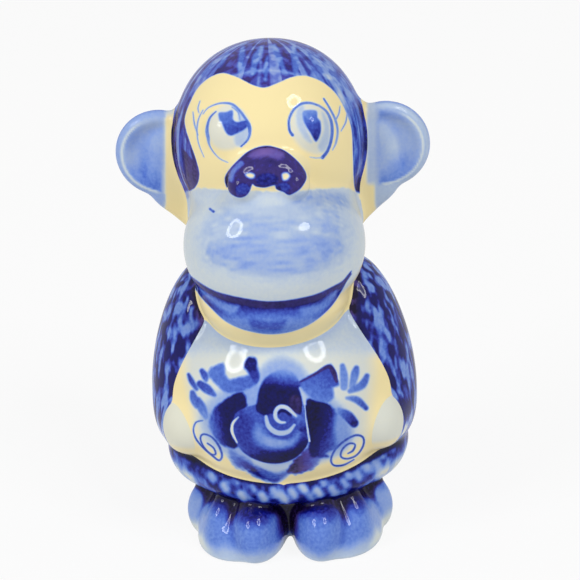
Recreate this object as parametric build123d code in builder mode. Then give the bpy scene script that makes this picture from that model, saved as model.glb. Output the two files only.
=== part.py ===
from build123d import *

import os
from math import sqrt

os.makedirs("parts", exist_ok=True)

# A hollow porcelain monkey, standing with its hands on its belly.
# Origin: centre of the bounding box on the ground. +Z up, the face looks along -Y, millimetres.

# Casting
WALL = 3.2
OVERRUN = 1.0
DRAIN_HOLE_DIAMETER = 9.0

# Trunk, an upright barrel on a rounded seat that is cut flat on the ground
TRUNK_HALF_WIDTH = 25.2
TRUNK_HALF_DEPTH = 21.5
TRUNK_HALF_HEIGHT = 30.0
TRUNK_HEIGHT = 36.0
TRUNK_BACK = 4.0
SEAT_HALF_WIDTH = 21.0
SEAT_HALF_DEPTH = 18.5
SEAT_HALF_HEIGHT = 15.0
SEAT_HEIGHT = 11.5
SEAT_BACK = 1.0

# Belly, swelling forward out of the trunk
BELLY_HALF_WIDTH = 24.4
BELLY_HALF_DEPTH = 20.3
BELLY_HALF_HEIGHT = 22.0
BELLY_HEIGHT = 34.5
BELLY_FORWARD = 9.0

# Skull, with the nape under it and two low eye domes
SKULL_HALF_WIDTH = 20.2
SKULL_HALF_DEPTH = 20.0
SKULL_HALF_HEIGHT = 20.8
SKULL_RISE = 23.2
SKULL_BACK = 3.2
NAPE_HALF_WIDTH = 18.0
NAPE_HALF_DEPTH = 15.5
NAPE_HALF_HEIGHT = 15.0
NAPE_DROP = 18.2
NAPE_FORWARD = 3.0
EYE_HALF_WIDTH = 4.7
EYE_HALF_DEPTH = 4.4
EYE_HALF_HEIGHT = 4.9
EYE_SPREAD = 7.9
EYE_RISE = 6.0
EYE_STANDOUT = 1.2

# Muzzle
MUZZLE_HALF_WIDTH = 19.1
MUZZLE_HALF_DEPTH = 17.0
MUZZLE_HALF_HEIGHT = 15.8
MUZZLE_DROP = 19.6
MUZZLE_FORWARD = 12.0

# Lower jaw, with the lip and the chin
JAW_HALF_WIDTH = 16.2
JAW_HALF_DEPTH = 15.6
JAW_HALF_HEIGHT = 14.0
JAW_DROP = 9.4
JAW_BACK = 1.0

# Nose, an arched pad with two nostril wings
NOSE_HALF_WIDTH = 8.1
NOSE_HALF_DEPTH = 6.0
NOSE_HALF_HEIGHT = 4.8
NOSE_DROP = 1.1
NOSE_STANDOUT = 4.6
NOSTRIL_HALF_WIDTH = 3.3
NOSTRIL_HALF_DEPTH = 3.8
NOSTRIL_HALF_HEIGHT = 3.4
NOSTRIL_SPREAD = 5.1
NOSTRIL_DROP = 2.2
NOSTRIL_FORWARD = 0.6

# Ears, each a dished disc with a rounded rim, on a root that runs down the side of the head
EAR_RADIUS = 9.5
EAR_RIM_RADIUS = 1.7
EAR_FLOOR = 0.4
EAR_CROWN = 2.6
EAR_STANDOFF = 3.8
EAR_DROP = 2.5
EAR_ROOT_HALF_WIDTH = 6.6
EAR_ROOT_HALF_DEPTH = 2.6
EAR_ROOT_HALF_HEIGHT = 12.0
EAR_ROOT_DROP = 6.4
EAR_ROOT_INSET = 4.8
EAR_ROOT_LEAN = 24.0

# Arms, lying along the flanks
ARM_HALF_THICKNESS = 8.2
ARM_HALF_BREADTH = 12.5
ARM_HALF_LENGTH = 22.0
ARM_HEIGHT = 41.5
ARM_INSET = 5.2
ARM_LEAN = 12.0
ARM_FORWARD = 3.8
FOREARM_HALF_THICKNESS = 5.0
FOREARM_HALF_BREADTH = 8.5
FOREARM_HALF_LENGTH = 7.0
FOREARM_HEIGHT = 29.5
FOREARM_INSET = 3.2
FOREARM_FORWARD = 10.5

# Hands, resting on the belly
HAND_HALF_WIDTH = 4.2
HAND_HALF_DEPTH = 5.0
HAND_HALF_HEIGHT = 5.6
HAND_SPREAD = 20.8
HAND_HEIGHT = 30.2
HAND_STANDOUT = 2.8

# Legs, each a haunch at the side with a shin folded round the foot of the belly
LEG_RADIUS = 5.7
LEG_SWEEP_HALF_WIDTH = 20.4
LEG_SWEEP_HALF_DEPTH = 18.0
LEG_HEIGHT = 18.2
LEG_ARC = 110.0
LEG_TILT = 3.0
HAUNCH_HALF_WIDTH = 8.0
HAUNCH_HALF_DEPTH = 13.0
HAUNCH_HALF_HEIGHT = 7.6
HAUNCH_SPREAD = 18.2
HAUNCH_BACK = 1.0

# Feet, each with three toes
FOOT_HEIGHT = 13.6
FOOT_SPREAD = 11.0
FOOT_HALF_WIDTH = 8.4
FOOT_HALF_LENGTH = 11.4
FOOT_FORWARD = 6.5
BALL_HALF_WIDTH = 10.3
BALL_HALF_LENGTH = 14.0
BALL_HALF_HEIGHT = 11.4
BALL_SPREAD = 10.8
BALL_FORWARD = 6.4
TOE_HALF_HEIGHT = 9.0
TOE_HEIGHT = 4.6
BIG_TOE_HALF_WIDTH = 6.1
BIG_TOE_HALF_LENGTH = 10.7
BIG_TOE_SPREAD = 6.9
BIG_TOE_FORWARD = 12.0
BIG_TOE_TURN = 3.0
MIDDLE_TOE_HALF_WIDTH = 5.0
MIDDLE_TOE_HALF_LENGTH = 9.0
MIDDLE_TOE_SPREAD = 11.4
MIDDLE_TOE_FORWARD = 9.2
MIDDLE_TOE_TURN = 40.0
OUTER_TOE_HALF_WIDTH = 5.4
OUTER_TOE_HALF_LENGTH = 9.2
OUTER_TOE_SPREAD = 14.0
OUTER_TOE_FORWARD = 2.6
OUTER_TOE_TURN = 80.0

# Places that follow from the sizes
BELLY_BACK = TRUNK_BACK - BELLY_FORWARD
SKULL_HEIGHT = TRUNK_HEIGHT + TRUNK_HALF_HEIGHT + SKULL_RISE
MUZZLE_HEIGHT = SKULL_HEIGHT - MUZZLE_DROP
MUZZLE_BACK = SKULL_BACK - MUZZLE_FORWARD

LEFT = 1
RIGHT = -1
SIDES = (("left", LEFT), ("right", RIGHT))

# Toes, each with its place, its turn outward and its size
TOES = (
    (BIG_TOE_SPREAD, BIG_TOE_FORWARD, BIG_TOE_TURN, BIG_TOE_HALF_WIDTH, BIG_TOE_HALF_LENGTH),
    (MIDDLE_TOE_SPREAD, MIDDLE_TOE_FORWARD, MIDDLE_TOE_TURN, MIDDLE_TOE_HALF_WIDTH, MIDDLE_TOE_HALF_LENGTH),
    (OUTER_TOE_SPREAD, OUTER_TOE_FORWARD, OUTER_TOE_TURN, OUTER_TOE_HALF_WIDTH, OUTER_TOE_HALF_LENGTH),
)


def front_of(half_width, half_depth, half_height, across, up):
    """How far a spheroid reaches forward of its centre, at a place beside and above that centre."""
    return half_depth * sqrt(1 - (across / half_width) ** 2 - (up / half_height) ** 2)


def spheroid(place, half_width, half_depth, half_height, inset=0):
    """A rounded form in two equal halves about the origin of its plane, or its inside behind that inset."""
    width = half_width - inset
    depth = half_depth - inset
    height = half_height - inset
    with BuildPart() as form:
        with BuildSketch(Plane.YZ):
            with BuildLine():
                EllipticalCenterArc((0, 0), depth, height, start_angle=-90, arc_size=180)
                Line((0, height), (0, -height))
            make_face()
        revolve(axis=Axis.Z, revolution_arc=180)
        scale(by=(width / depth, 1, 1))
        mirror(about=Plane.YZ)
    return place.location * form.part


def on_side(form, hand):
    """A form made for the left (+X), or its mirror image for the right."""
    return form if hand > 0 else mirror(form, about=Plane.YZ)


# Rounded forms of the casting, at full size or inset by the wall


def trunk_form(inset=0):
    place = Plane((0, TRUNK_BACK, TRUNK_HEIGHT))
    return spheroid(place, TRUNK_HALF_WIDTH, TRUNK_HALF_DEPTH, TRUNK_HALF_HEIGHT, inset)


def seat_form(inset=0):
    place = Plane((0, TRUNK_BACK + SEAT_BACK, SEAT_HEIGHT))
    return spheroid(place, SEAT_HALF_WIDTH, SEAT_HALF_DEPTH, SEAT_HALF_HEIGHT, inset)


def belly_form(inset=0):
    place = Plane((0, BELLY_BACK, BELLY_HEIGHT))
    return spheroid(place, BELLY_HALF_WIDTH, BELLY_HALF_DEPTH, BELLY_HALF_HEIGHT, inset)


def skull_form(inset=0):
    place = Plane((0, SKULL_BACK, SKULL_HEIGHT))
    return spheroid(place, SKULL_HALF_WIDTH, SKULL_HALF_DEPTH, SKULL_HALF_HEIGHT, inset)


def nape_form(inset=0):
    place = Plane((0, SKULL_BACK - NAPE_FORWARD, SKULL_HEIGHT - NAPE_DROP))
    return spheroid(place, NAPE_HALF_WIDTH, NAPE_HALF_DEPTH, NAPE_HALF_HEIGHT, inset)


def muzzle_form(inset=0):
    place = Plane((0, MUZZLE_BACK, MUZZLE_HEIGHT))
    return spheroid(place, MUZZLE_HALF_WIDTH, MUZZLE_HALF_DEPTH, MUZZLE_HALF_HEIGHT, inset)


def jaw_form(inset=0):
    place = Plane((0, MUZZLE_BACK + JAW_BACK, MUZZLE_HEIGHT - JAW_DROP))
    return spheroid(place, JAW_HALF_WIDTH, JAW_HALF_DEPTH, JAW_HALF_HEIGHT, inset)


# Forms that are put on, those of a pair made for the left side


def eye_form():
    face = SKULL_BACK - front_of(
        SKULL_HALF_WIDTH, SKULL_HALF_DEPTH, SKULL_HALF_HEIGHT, EYE_SPREAD, EYE_RISE
    )
    place = Plane((EYE_SPREAD, face - EYE_STANDOUT + EYE_HALF_DEPTH, SKULL_HEIGHT + EYE_RISE))
    return spheroid(place, EYE_HALF_WIDTH, EYE_HALF_DEPTH, EYE_HALF_HEIGHT)


def nose_form():
    """An arched pad, with a wing at each nostril."""
    face = SKULL_BACK - front_of(SKULL_HALF_WIDTH, SKULL_HALF_DEPTH, SKULL_HALF_HEIGHT, 0, NOSE_DROP)
    pad_back = face - NOSE_STANDOUT + NOSE_HALF_DEPTH
    wing_back = face - NOSE_STANDOUT - NOSTRIL_FORWARD + NOSTRIL_HALF_DEPTH
    pad_height = SKULL_HEIGHT - NOSE_DROP
    with BuildPart() as form:
        add(
            spheroid(
                Plane((0, pad_back, pad_height)),
                NOSE_HALF_WIDTH,
                NOSE_HALF_DEPTH,
                NOSE_HALF_HEIGHT,
            )
        )
        for hand in (LEFT, RIGHT):
            add(
                spheroid(
                    Plane((hand * NOSTRIL_SPREAD, wing_back, pad_height - NOSTRIL_DROP)),
                    NOSTRIL_HALF_WIDTH,
                    NOSTRIL_HALF_DEPTH,
                    NOSTRIL_HALF_HEIGHT,
                )
            )
    return form.part


def ear_form():
    """A dished disc, turned about its own front-to-back axis, on its root."""
    centre = SKULL_HALF_WIDTH + EAR_STANDOFF
    height = SKULL_HEIGHT - EAR_DROP
    rim = EAR_RADIUS - EAR_RIM_RADIUS
    with BuildPart() as disc:
        with BuildSketch():
            with BuildLine():
                Spline(
                    (rim, -EAR_RIM_RADIUS),
                    (rim / 2, -EAR_FLOOR),
                    (0, -EAR_FLOOR),
                    tangents=((-1, 0), (-1, 0)),
                )
                ThreePointArc((rim, -EAR_RIM_RADIUS), (EAR_RADIUS, 0), (rim, EAR_RIM_RADIUS))
                Spline((rim, EAR_RIM_RADIUS), (0, EAR_CROWN), tangents=((-1, 0), (-1, 0)))
                Line((0, EAR_CROWN), (0, -EAR_FLOOR))
            make_face()
        revolve(axis=Axis.Y)
    root = Plane((centre - EAR_ROOT_INSET, SKULL_BACK, height - EAR_ROOT_DROP))
    with BuildPart() as form:
        add(Pos(centre, SKULL_BACK, height) * disc.part)
        add(
            spheroid(
                root.rotated((0, EAR_ROOT_LEAN, 0)),
                EAR_ROOT_HALF_WIDTH,
                EAR_ROOT_HALF_DEPTH,
                EAR_ROOT_HALF_HEIGHT,
            )
        )
    return form.part


def arm_form():
    """An upper arm leaning out from the shoulder, and a forearm turned forward at its foot."""
    upper = Plane((TRUNK_HALF_WIDTH - ARM_INSET, TRUNK_BACK - ARM_FORWARD, ARM_HEIGHT))
    lower = Plane((TRUNK_HALF_WIDTH - FOREARM_INSET, TRUNK_BACK - FOREARM_FORWARD, FOREARM_HEIGHT))
    with BuildPart() as form:
        add(
            spheroid(
                upper.rotated((0, -ARM_LEAN, 0)),
                ARM_HALF_THICKNESS,
                ARM_HALF_BREADTH,
                ARM_HALF_LENGTH,
            )
        )
        add(spheroid(lower, FOREARM_HALF_THICKNESS, FOREARM_HALF_BREADTH, FOREARM_HALF_LENGTH))
    return form.part


def hand_form():
    belly = BELLY_BACK - front_of(
        BELLY_HALF_WIDTH, BELLY_HALF_DEPTH, BELLY_HALF_HEIGHT, HAND_SPREAD, HAND_HEIGHT - BELLY_HEIGHT
    )
    place = Plane((HAND_SPREAD, belly - HAND_STANDOUT + HAND_HALF_DEPTH, HAND_HEIGHT))
    return spheroid(place, HAND_HALF_WIDTH, HAND_HALF_DEPTH, HAND_HALF_HEIGHT)


def leg_form():
    """Part of a flattened ring, from the middle of the front round into a haunch at the side."""
    with BuildPart() as form:
        with BuildSketch(Plane.YZ):
            with Locations((-LEG_SWEEP_HALF_WIDTH, 0)):
                Circle(LEG_RADIUS)
        revolve(axis=Axis.Z, revolution_arc=LEG_ARC)
        scale(by=(1, LEG_SWEEP_HALF_DEPTH / LEG_SWEEP_HALF_WIDTH, 1))
        add(
            spheroid(
                Plane((HAUNCH_SPREAD, HAUNCH_BACK, 0)),
                HAUNCH_HALF_WIDTH,
                HAUNCH_HALF_DEPTH,
                HAUNCH_HALF_HEIGHT,
            )
        )
    place = Plane((0, TRUNK_BACK, LEG_HEIGHT)).rotated((LEG_TILT, 0, 0))
    return place.location * form.part


def foot_form():
    """An instep over a broad ball with three toes, standing flat on the ground."""
    with BuildPart() as form:
        add(
            spheroid(
                Plane((FOOT_SPREAD, -FOOT_FORWARD, 0)),
                FOOT_HALF_WIDTH,
                FOOT_HALF_LENGTH,
                FOOT_HEIGHT,
            )
        )
        ball = Plane((BALL_SPREAD, -BALL_FORWARD, 0))
        add(spheroid(ball, BALL_HALF_WIDTH, BALL_HALF_LENGTH, BALL_HALF_HEIGHT))
        for spread, forward, turn, half_width, half_length in TOES:
            toe = Plane((spread, -forward, TOE_HEIGHT)).rotated((0, 0, turn))
            add(spheroid(toe, half_width, half_length, TOE_HALF_HEIGHT))
        split(bisect_by=Plane.XY, keep=Keep.TOP)
    return form.part


# The casting's hollow, from the floor of the seat up into the muzzle and the skull
with BuildPart() as hollow:
    for cast_form in (trunk_form, seat_form, belly_form, skull_form, nape_form, muzzle_form, jaw_form):
        add(cast_form(WALL))
    split(bisect_by=Plane.XY.offset(WALL), keep=Keep.TOP)

# Outsides of the torso and the head, before the hollow
with BuildPart() as torso_outside:
    add(trunk_form())
    add(seat_form())
    add(belly_form())
    split(bisect_by=Plane.XY, keep=Keep.TOP)

with BuildPart() as head_outside:
    add(skull_form())
    add(nape_form())
    for hand in (LEFT, RIGHT):
        add(on_side(eye_form(), hand))

# Torso, with the drain hole through its floor
with BuildPart() as torso:
    add(torso_outside.part)
    add(hollow.part, mode=Mode.SUBTRACT)
    with Locations((0, TRUNK_BACK, 0)):
        Cylinder(DRAIN_HOLE_DIAMETER / 2, (WALL + OVERRUN) * 2, mode=Mode.SUBTRACT)
torso.part.label = "torso"
export_step(torso.part, "parts/torso.step")

# Head, seated on the torso and open to the front behind the muzzle and the jaw
with BuildPart() as head:
    add(head_outside.part)
    add(torso_outside.part, mode=Mode.SUBTRACT)
    add(hollow.part, mode=Mode.SUBTRACT)
head.part.label = "head"
export_step(head.part, "parts/head.step")

# Muzzle
with BuildPart() as muzzle:
    add(muzzle_form())
    add(head_outside.part, mode=Mode.SUBTRACT)
    add(torso_outside.part, mode=Mode.SUBTRACT)
    add(hollow.part, mode=Mode.SUBTRACT)
muzzle.part.label = "muzzle"
export_step(muzzle.part, "parts/muzzle.step")

# Lower jaw, under the muzzle
with BuildPart() as lower_jaw:
    add(jaw_form())
    add(muzzle_form(), mode=Mode.SUBTRACT)
    add(head_outside.part, mode=Mode.SUBTRACT)
    add(torso_outside.part, mode=Mode.SUBTRACT)
    add(hollow.part, mode=Mode.SUBTRACT)
lower_jaw.part.label = "lower_jaw"
export_step(lower_jaw.part, "parts/lower_jaw.step")

# Nose, between the face and the muzzle
with BuildPart() as nose:
    add(nose_form())
    add(muzzle_form(), mode=Mode.SUBTRACT)
    add(head_outside.part, mode=Mode.SUBTRACT)
nose.part.label = "nose"
export_step(nose.part, "parts/nose.step")

# The whole body that the limbs are laid against
with BuildPart() as body_outside:
    add(torso_outside.part)
    add(head_outside.part)
    add(muzzle_form())
    add(jaw_form())

for side, hand in SIDES:
    arm_outside = on_side(arm_form(), hand)
    hand_outside = on_side(hand_form(), hand)
    leg_outside = on_side(leg_form(), hand)

    # Ear
    with BuildPart() as ear:
        add(on_side(ear_form(), hand))
        add(head_outside.part, mode=Mode.SUBTRACT)
    ear.part.label = f"{side}_ear"
    export_step(ear.part, f"parts/{side}_ear.step")

    # Hand, on the belly
    with BuildPart() as palm:
        add(hand_outside)
        add(body_outside.part, mode=Mode.SUBTRACT)
    palm.part.label = f"{side}_hand"
    export_step(palm.part, f"parts/{side}_hand.step")

    # Arm, down to the hand
    with BuildPart() as arm:
        add(arm_outside)
        add(body_outside.part, mode=Mode.SUBTRACT)
        add(hand_outside, mode=Mode.SUBTRACT)
    arm.part.label = f"{side}_arm"
    export_step(arm.part, f"parts/{side}_arm.step")

    # Leg, under the arm and the belly
    with BuildPart() as leg:
        add(leg_outside)
        add(body_outside.part, mode=Mode.SUBTRACT)
        add(arm_outside, mode=Mode.SUBTRACT)
        add(hand_outside, mode=Mode.SUBTRACT)
    leg.part.label = f"{side}_leg"
    export_step(leg.part, f"parts/{side}_leg.step")

    # Foot, under the leg
    with BuildPart() as foot:
        add(on_side(foot_form(), hand))
        add(body_outside.part, mode=Mode.SUBTRACT)
        add(leg_outside, mode=Mode.SUBTRACT)
    foot.part.label = f"{side}_foot"
    export_step(foot.part, f"parts/{side}_foot.step")
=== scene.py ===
"""Dresses the porcelain monkey: one glazed skin over the clay members, and the cobalt painting under it."""

import sys

from dataclasses import dataclass, replace
from enum import Enum
import logging
import math
from typing import Iterable, Sequence

import bpy
import numpy as np
import openvdb as vdb
from mathutils import Matrix, Vector


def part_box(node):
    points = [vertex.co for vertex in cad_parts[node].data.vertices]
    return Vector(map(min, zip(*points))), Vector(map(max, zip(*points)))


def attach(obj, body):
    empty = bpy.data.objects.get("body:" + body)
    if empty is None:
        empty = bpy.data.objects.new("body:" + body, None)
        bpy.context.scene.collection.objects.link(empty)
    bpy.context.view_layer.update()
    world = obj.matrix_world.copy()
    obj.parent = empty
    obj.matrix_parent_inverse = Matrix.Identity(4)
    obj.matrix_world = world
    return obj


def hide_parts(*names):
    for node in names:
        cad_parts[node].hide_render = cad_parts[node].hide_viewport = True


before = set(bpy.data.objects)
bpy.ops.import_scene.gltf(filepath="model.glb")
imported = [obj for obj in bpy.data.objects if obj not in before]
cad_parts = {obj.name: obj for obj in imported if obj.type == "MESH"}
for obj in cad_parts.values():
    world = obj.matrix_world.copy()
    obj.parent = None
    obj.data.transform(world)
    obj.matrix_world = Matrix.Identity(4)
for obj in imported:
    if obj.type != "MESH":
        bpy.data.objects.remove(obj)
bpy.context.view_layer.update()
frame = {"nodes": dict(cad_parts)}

LOG = logging.getLogger("monkey")
MM = 0.001
NODE_CORNERS = [[value / MM for value in corner] for node in frame["nodes"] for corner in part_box(node)]
FAR = 9.0  # millimetres that stand for far from everything
ROOM = 2.5  # millimetres of lattice kept round a form, so that its surface closes
TINY = 1e-6  # keeps a divisor off 0
PAINTS = ("cobalt", "cream", "violet", "dabs")

Point = tuple[float, float, float]
Line = Sequence[Sequence[float]]
Load = float | tuple[float, float]
Array = np.ndarray


class Side(Enum):
    """Which side of the figurine a piece of a pair is on, as the sign of its x."""

    LEFT = 1
    RIGHT = -1

    @property
    def word(self) -> str:
        """The side as it stands in the pieces' names."""
        return self.name.lower()


# Forms


@dataclass(frozen=True)
class Form:
    """A rounded clay form, with sizes in millimetres.

    Fields:
        centre: where its middle is.
        half: half its width, depth and height.
        turn: degrees about its own x, y or z axis, one of them at most.
        fullness: 2 for an ellipsoid, more for one that is fuller at its shoulders.
    """

    centre: Point
    half: Point
    turn: Point = (0.0, 0.0, 0.0)
    fullness: float = 2.0

    def inset(self, wall: float) -> "Form":
        """The inside of the form behind a wall of that thickness."""
        return replace(self, half=tuple(size - wall for size in self.half))

    def mirrored(self, side: Side) -> "Form":
        """The form itself for the left side, or its mirror image for the right.

        Args:
            side: the side it goes to.

        Returns:
            The form on that side.
        """
        if side is Side.LEFT:
            return self
        x, y, z = self.centre
        about_x, about_y, about_z = self.turn
        return replace(self, centre=(-x, y, z), turn=(about_x, -about_y, -about_z))

    def reach(self) -> tuple[Array, Array]:
        """The lowest and highest corner of a box that holds the form."""
        radius = np.full(3, max(self.half)) if any(self.turn) else np.array(self.half)
        return np.array(self.centre) - radius, np.array(self.centre) + radius

    def distance(self, x: Array, y: Array, z: Array) -> Array:
        """Millimetres from the form's surface, less than 0 inside, near enough close to it.

        Args:
            x, y, z: places in millimetres, as arrays that broadcast together.

        Returns:
            The distances.
        """
        x, y, z = (axis - middle for axis, middle in zip((x, y, z), self.centre))
        if any(self.turn):
            spin = Matrix.Identity(3)
            for letter, degrees in zip("XYZ", self.turn):
                spin = spin @ Matrix.Rotation(math.radians(degrees), 3, letter)
            rows = np.array(spin.transposed(), np.float32)
            x, y, z = (row[0] * x + row[1] * y + row[2] * z for row in rows)
        total = steep = np.float32(0)
        for axis, size in zip((x, y, z), self.half):
            share = np.abs(axis / np.float32(size)) + np.float32(TINY)
            total = total + share**self.fullness
            steep = steep + (share ** (self.fullness - 1) / np.float32(size)) ** 2
        spread = total ** (1 / self.fullness)
        return (spread - 1) * spread ** (self.fullness - 1) / np.sqrt(steep)


@dataclass(frozen=True)
class Ring:
    """A round bar bent into part of a flattened ring, with sizes in millimetres.

    Fields:
        centre: the ring's middle.
        half_width: from its middle to the bar's centre line at the side.
        half_depth: from its middle to the bar's centre line in front.
        thickness: the bar's radius.
        tilt: degrees about x.
        side: the side that the bar is kept to.
        end: how far behind the middle the bar ends, as a share of half_depth.
    """

    centre: Point
    half_width: float
    half_depth: float
    thickness: float
    tilt: float
    side: Side
    end: float = 0.34

    def mirrored(self, side: Side) -> "Ring":
        """The same ring kept to that side."""
        return replace(self, side=side)

    def reach(self) -> tuple[Array, Array]:
        """The lowest and highest corner of a box that holds the bar."""
        middle = np.array(self.centre)
        radius = np.array([self.half_width, self.half_depth, 1.0]) + self.thickness
        low, high = middle - radius, middle + radius
        if self.side is Side.LEFT:
            low[0] = -self.thickness
        else:
            high[0] = self.thickness
        return low, high

    def distance(self, x: Array, y: Array, z: Array) -> Array:
        """Millimetres from the bar's surface, less than 0 inside, near enough close to it.

        Args:
            x, y, z: places in millimetres, as arrays that broadcast together.

        Returns:
            The distances.
        """
        x, y, z = (axis - middle for axis, middle in zip((x, y, z), self.centre))
        sine, cosine = math.sin(math.radians(self.tilt)), math.cos(math.radians(self.tilt))
        y, z = cosine * y + sine * z, cosine * z - sine * y
        spread = np.sqrt((x / self.half_width) ** 2 + (y / self.half_depth) ** 2) + np.float32(TINY)
        steep = np.sqrt((x / self.half_width**2) ** 2 + (y / self.half_depth**2) ** 2) / spread
        across = (spread - 1) / (steep + np.float32(TINY))
        bar = np.sqrt(across**2 + z**2) - self.thickness
        return np.maximum(bar, np.maximum(-self.side.value * x, y - self.half_depth * self.end))


@dataclass(frozen=True)
class Dish:
    """The dished disc of an ear, facing forward, with sizes in millimetres.

    Fields:
        centre: the disc's middle.
        radius: its own, with the rim.
        rim: the radius of its rolled rim.
        floor: how far in front of the middle the dish's floor lies.
        crown: how far its back bulges.
        rounding: the softness of the crease inside the rim.
    """

    centre: Point
    radius: float
    rim: float
    floor: float
    crown: float
    rounding: float = 0.8

    def mirrored(self, side: Side) -> "Dish":
        """The disc itself for the left side, or its mirror image for the right."""
        x, y, z = self.centre
        return replace(self, centre=(side.value * x, y, z))

    def reach(self) -> tuple[Array, Array]:
        """The lowest and highest corner of a box that holds the disc."""
        middle = np.array(self.centre)
        radius = np.array([self.radius, self.crown + self.rim, self.radius])
        return middle - radius, middle + radius

    def distance(self, x: Array, y: Array, z: Array) -> Array:
        """Millimetres from the disc's surface, less than 0 inside, near enough close to it.

        Args:
            x, y, z: places in millimetres, as arrays that broadcast together.

        Returns:
            The distances.
        """
        x, y, z = (axis - middle for axis, middle in zip((x, y, z), self.centre))
        middle = self.radius - self.rim
        out = np.sqrt(x**2 + z**2)
        bar = np.sqrt((out - middle) ** 2 + y**2) - self.rim
        share = np.clip(out / middle, 0, 1) ** 2
        front = -self.floor - (self.rim - self.floor) * share**2
        back = self.crown - (self.crown - self.rim) * share
        plate = np.maximum(np.maximum(front - y, y - back), out - middle)
        return soft_union(bar, plate, self.rounding)


Shape = Form | Ring | Dish


def soft_union(one: Array, other: Array, softness: float) -> Array:
    """Joins two distance fields, with the crease between them filled over that many millimetres.

    Args:
        one: a field.
        other: another.
        softness: the width of the filling.

    Returns:
        The joined field.
    """
    near = np.maximum(np.float32(softness) - np.abs(one - other), 0) / np.float32(softness)
    return np.minimum(one, other) - near**2 * np.float32(softness / 4)


def soft_cut(one: Array, other: Array, softness: float) -> Array:
    """What two distance fields share, with the edge between them rounded over that many millimetres.

    Args:
        one: a field.
        other: another.
        softness: the width of the rounding.

    Returns:
        The shared field.
    """
    return -soft_union(-one, -other, softness)


def smooth_step(low: float, high: float, value: Array) -> Array:
    """Rises softly from 0 at low to 1 at high.

    Args:
        low: where it is 0.
        high: where it is 1.
        value: what it follows.

    Returns:
        The shares from 0 to 1.
    """
    share = np.clip((value - low) / (high - low), 0, 1)
    return share * share * (3 - 2 * share)


# The lattice that the skin is worked out on


class Lattice:
    """A regular lattice of distances in millimetres, round the whole figurine.

    Args:
        low: its lowest corner.
        high: its highest corner.
        step: millimetres between neighbours.
    """

    def __init__(self, low: Sequence[float], high: Sequence[float], step: float) -> None:
        """Sets the lattice out, with every distance far."""
        self.step = step
        self.start = np.floor(np.array(low) / step).astype(int)
        self.count = np.ceil(np.array(high) / step).astype(int) - self.start + 1
        self.axes = [
            ((np.arange(number) + first) * step).astype(np.float32)
            for number, first in zip(self.count, self.start)
        ]
        self.values = self.empty()

    def empty(self) -> Array:
        """A field that is far from everything."""
        return np.full(tuple(self.count), FAR, np.float32)

    def window(self, shape: Shape, margin: float) -> tuple[tuple[slice, ...], list[Array]]:
        """The part of the lattice that lies round a shape.

        Args:
            shape: the form, ring or dish.
            margin: millimetres to take in round it.

        Returns:
            The slices of the window, and its coordinates ready to broadcast.
        """
        low, high = shape.reach()
        slices = []
        for axis, bottom, top in zip(self.axes, low - margin, high + margin):
            first, last = np.searchsorted(axis, [bottom, top])
            slices.append(slice(int(first), int(last)))
        x, y, z = (axis[part] for axis, part in zip(self.axes, slices))
        return tuple(slices), [x[:, None, None], y[None, :, None], z[None, None, :]]

    def join(self, values: Array, shape: Shape, softness: float) -> None:
        """Adds a shape to a field, with a soft crease."""
        part, places = self.window(shape, softness + ROOM)
        values[part] = soft_union(values[part], shape.distance(*places), softness)

    def soften(self, values: Array, width: float) -> Array:
        """Blurs a field over about that many millimetres, as glaze fills an edge.

        Args:
            values: the field.
            width: the blur's standard deviation.

        Returns:
            The blurred field.
        """
        reach = max(1, int(round(3 * width / self.step)))
        offsets = np.arange(-reach, reach + 1)
        weights = np.exp(-0.5 * (offsets * self.step / width) ** 2)
        weights /= weights.sum()
        for axis in range(3):
            padded = np.pad(values, [(reach, reach) if a == axis else (0, 0) for a in range(3)], "edge")
            values = sum(
                np.float32(weight) * np.take(padded, range(first, first + values.shape[axis]), axis)
                for first, weight in enumerate(weights)
            )
        return values

    def sample(self, values: Array, points: Array) -> Array:
        """A field's values at any points, read between its neighbours.

        Args:
            values: the field.
            points: places in millimetres.

        Returns:
            A value for each point.
        """
        place = points / self.step - self.start
        base = np.clip(np.floor(place).astype(int), 0, self.count - 2)
        part = (place - base).astype(np.float32)
        total = np.zeros(len(points), np.float32)
        for corner in np.ndindex(2, 2, 2):
            weight = np.prod(np.where(corner, part, 1 - part), axis=1)
            i, j, k = (base + corner).T
            total += weight * values[i, j, k]
        return total

    def slopes(self, values: Array) -> list[Array]:
        """How fast a field rises along each axis."""
        return [np.gradient(values, self.step, axis=axis).astype(np.float32) for axis in range(3)]

    def away(self, slopes: Sequence[Array], points: Array) -> Array:
        """The direction away from the clay at any points, one unit long."""
        ahead = np.stack([self.sample(slope, points) for slope in slopes], 1)
        return ahead / np.maximum(np.linalg.norm(ahead, axis=1, keepdims=True), TINY)

    def surface(self, values: Array) -> tuple[Array, Array, Array]:
        """The surface where a field is 0, as points in millimetres, triangles and quads.

        Args:
            values: the field.

        Returns:
            The points, the triangles and the quads.
        """
        grid = vdb.FloatGrid(FAR)
        grid.copyFromArray(np.ascontiguousarray(values, np.float32), ijk=tuple(int(v) for v in self.start))
        grid.transform = vdb.createLinearTransform(voxelSize=self.step)
        return grid.convertToPolygons(isovalue=0.0, adaptivity=0.0)


# Meshes


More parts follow.
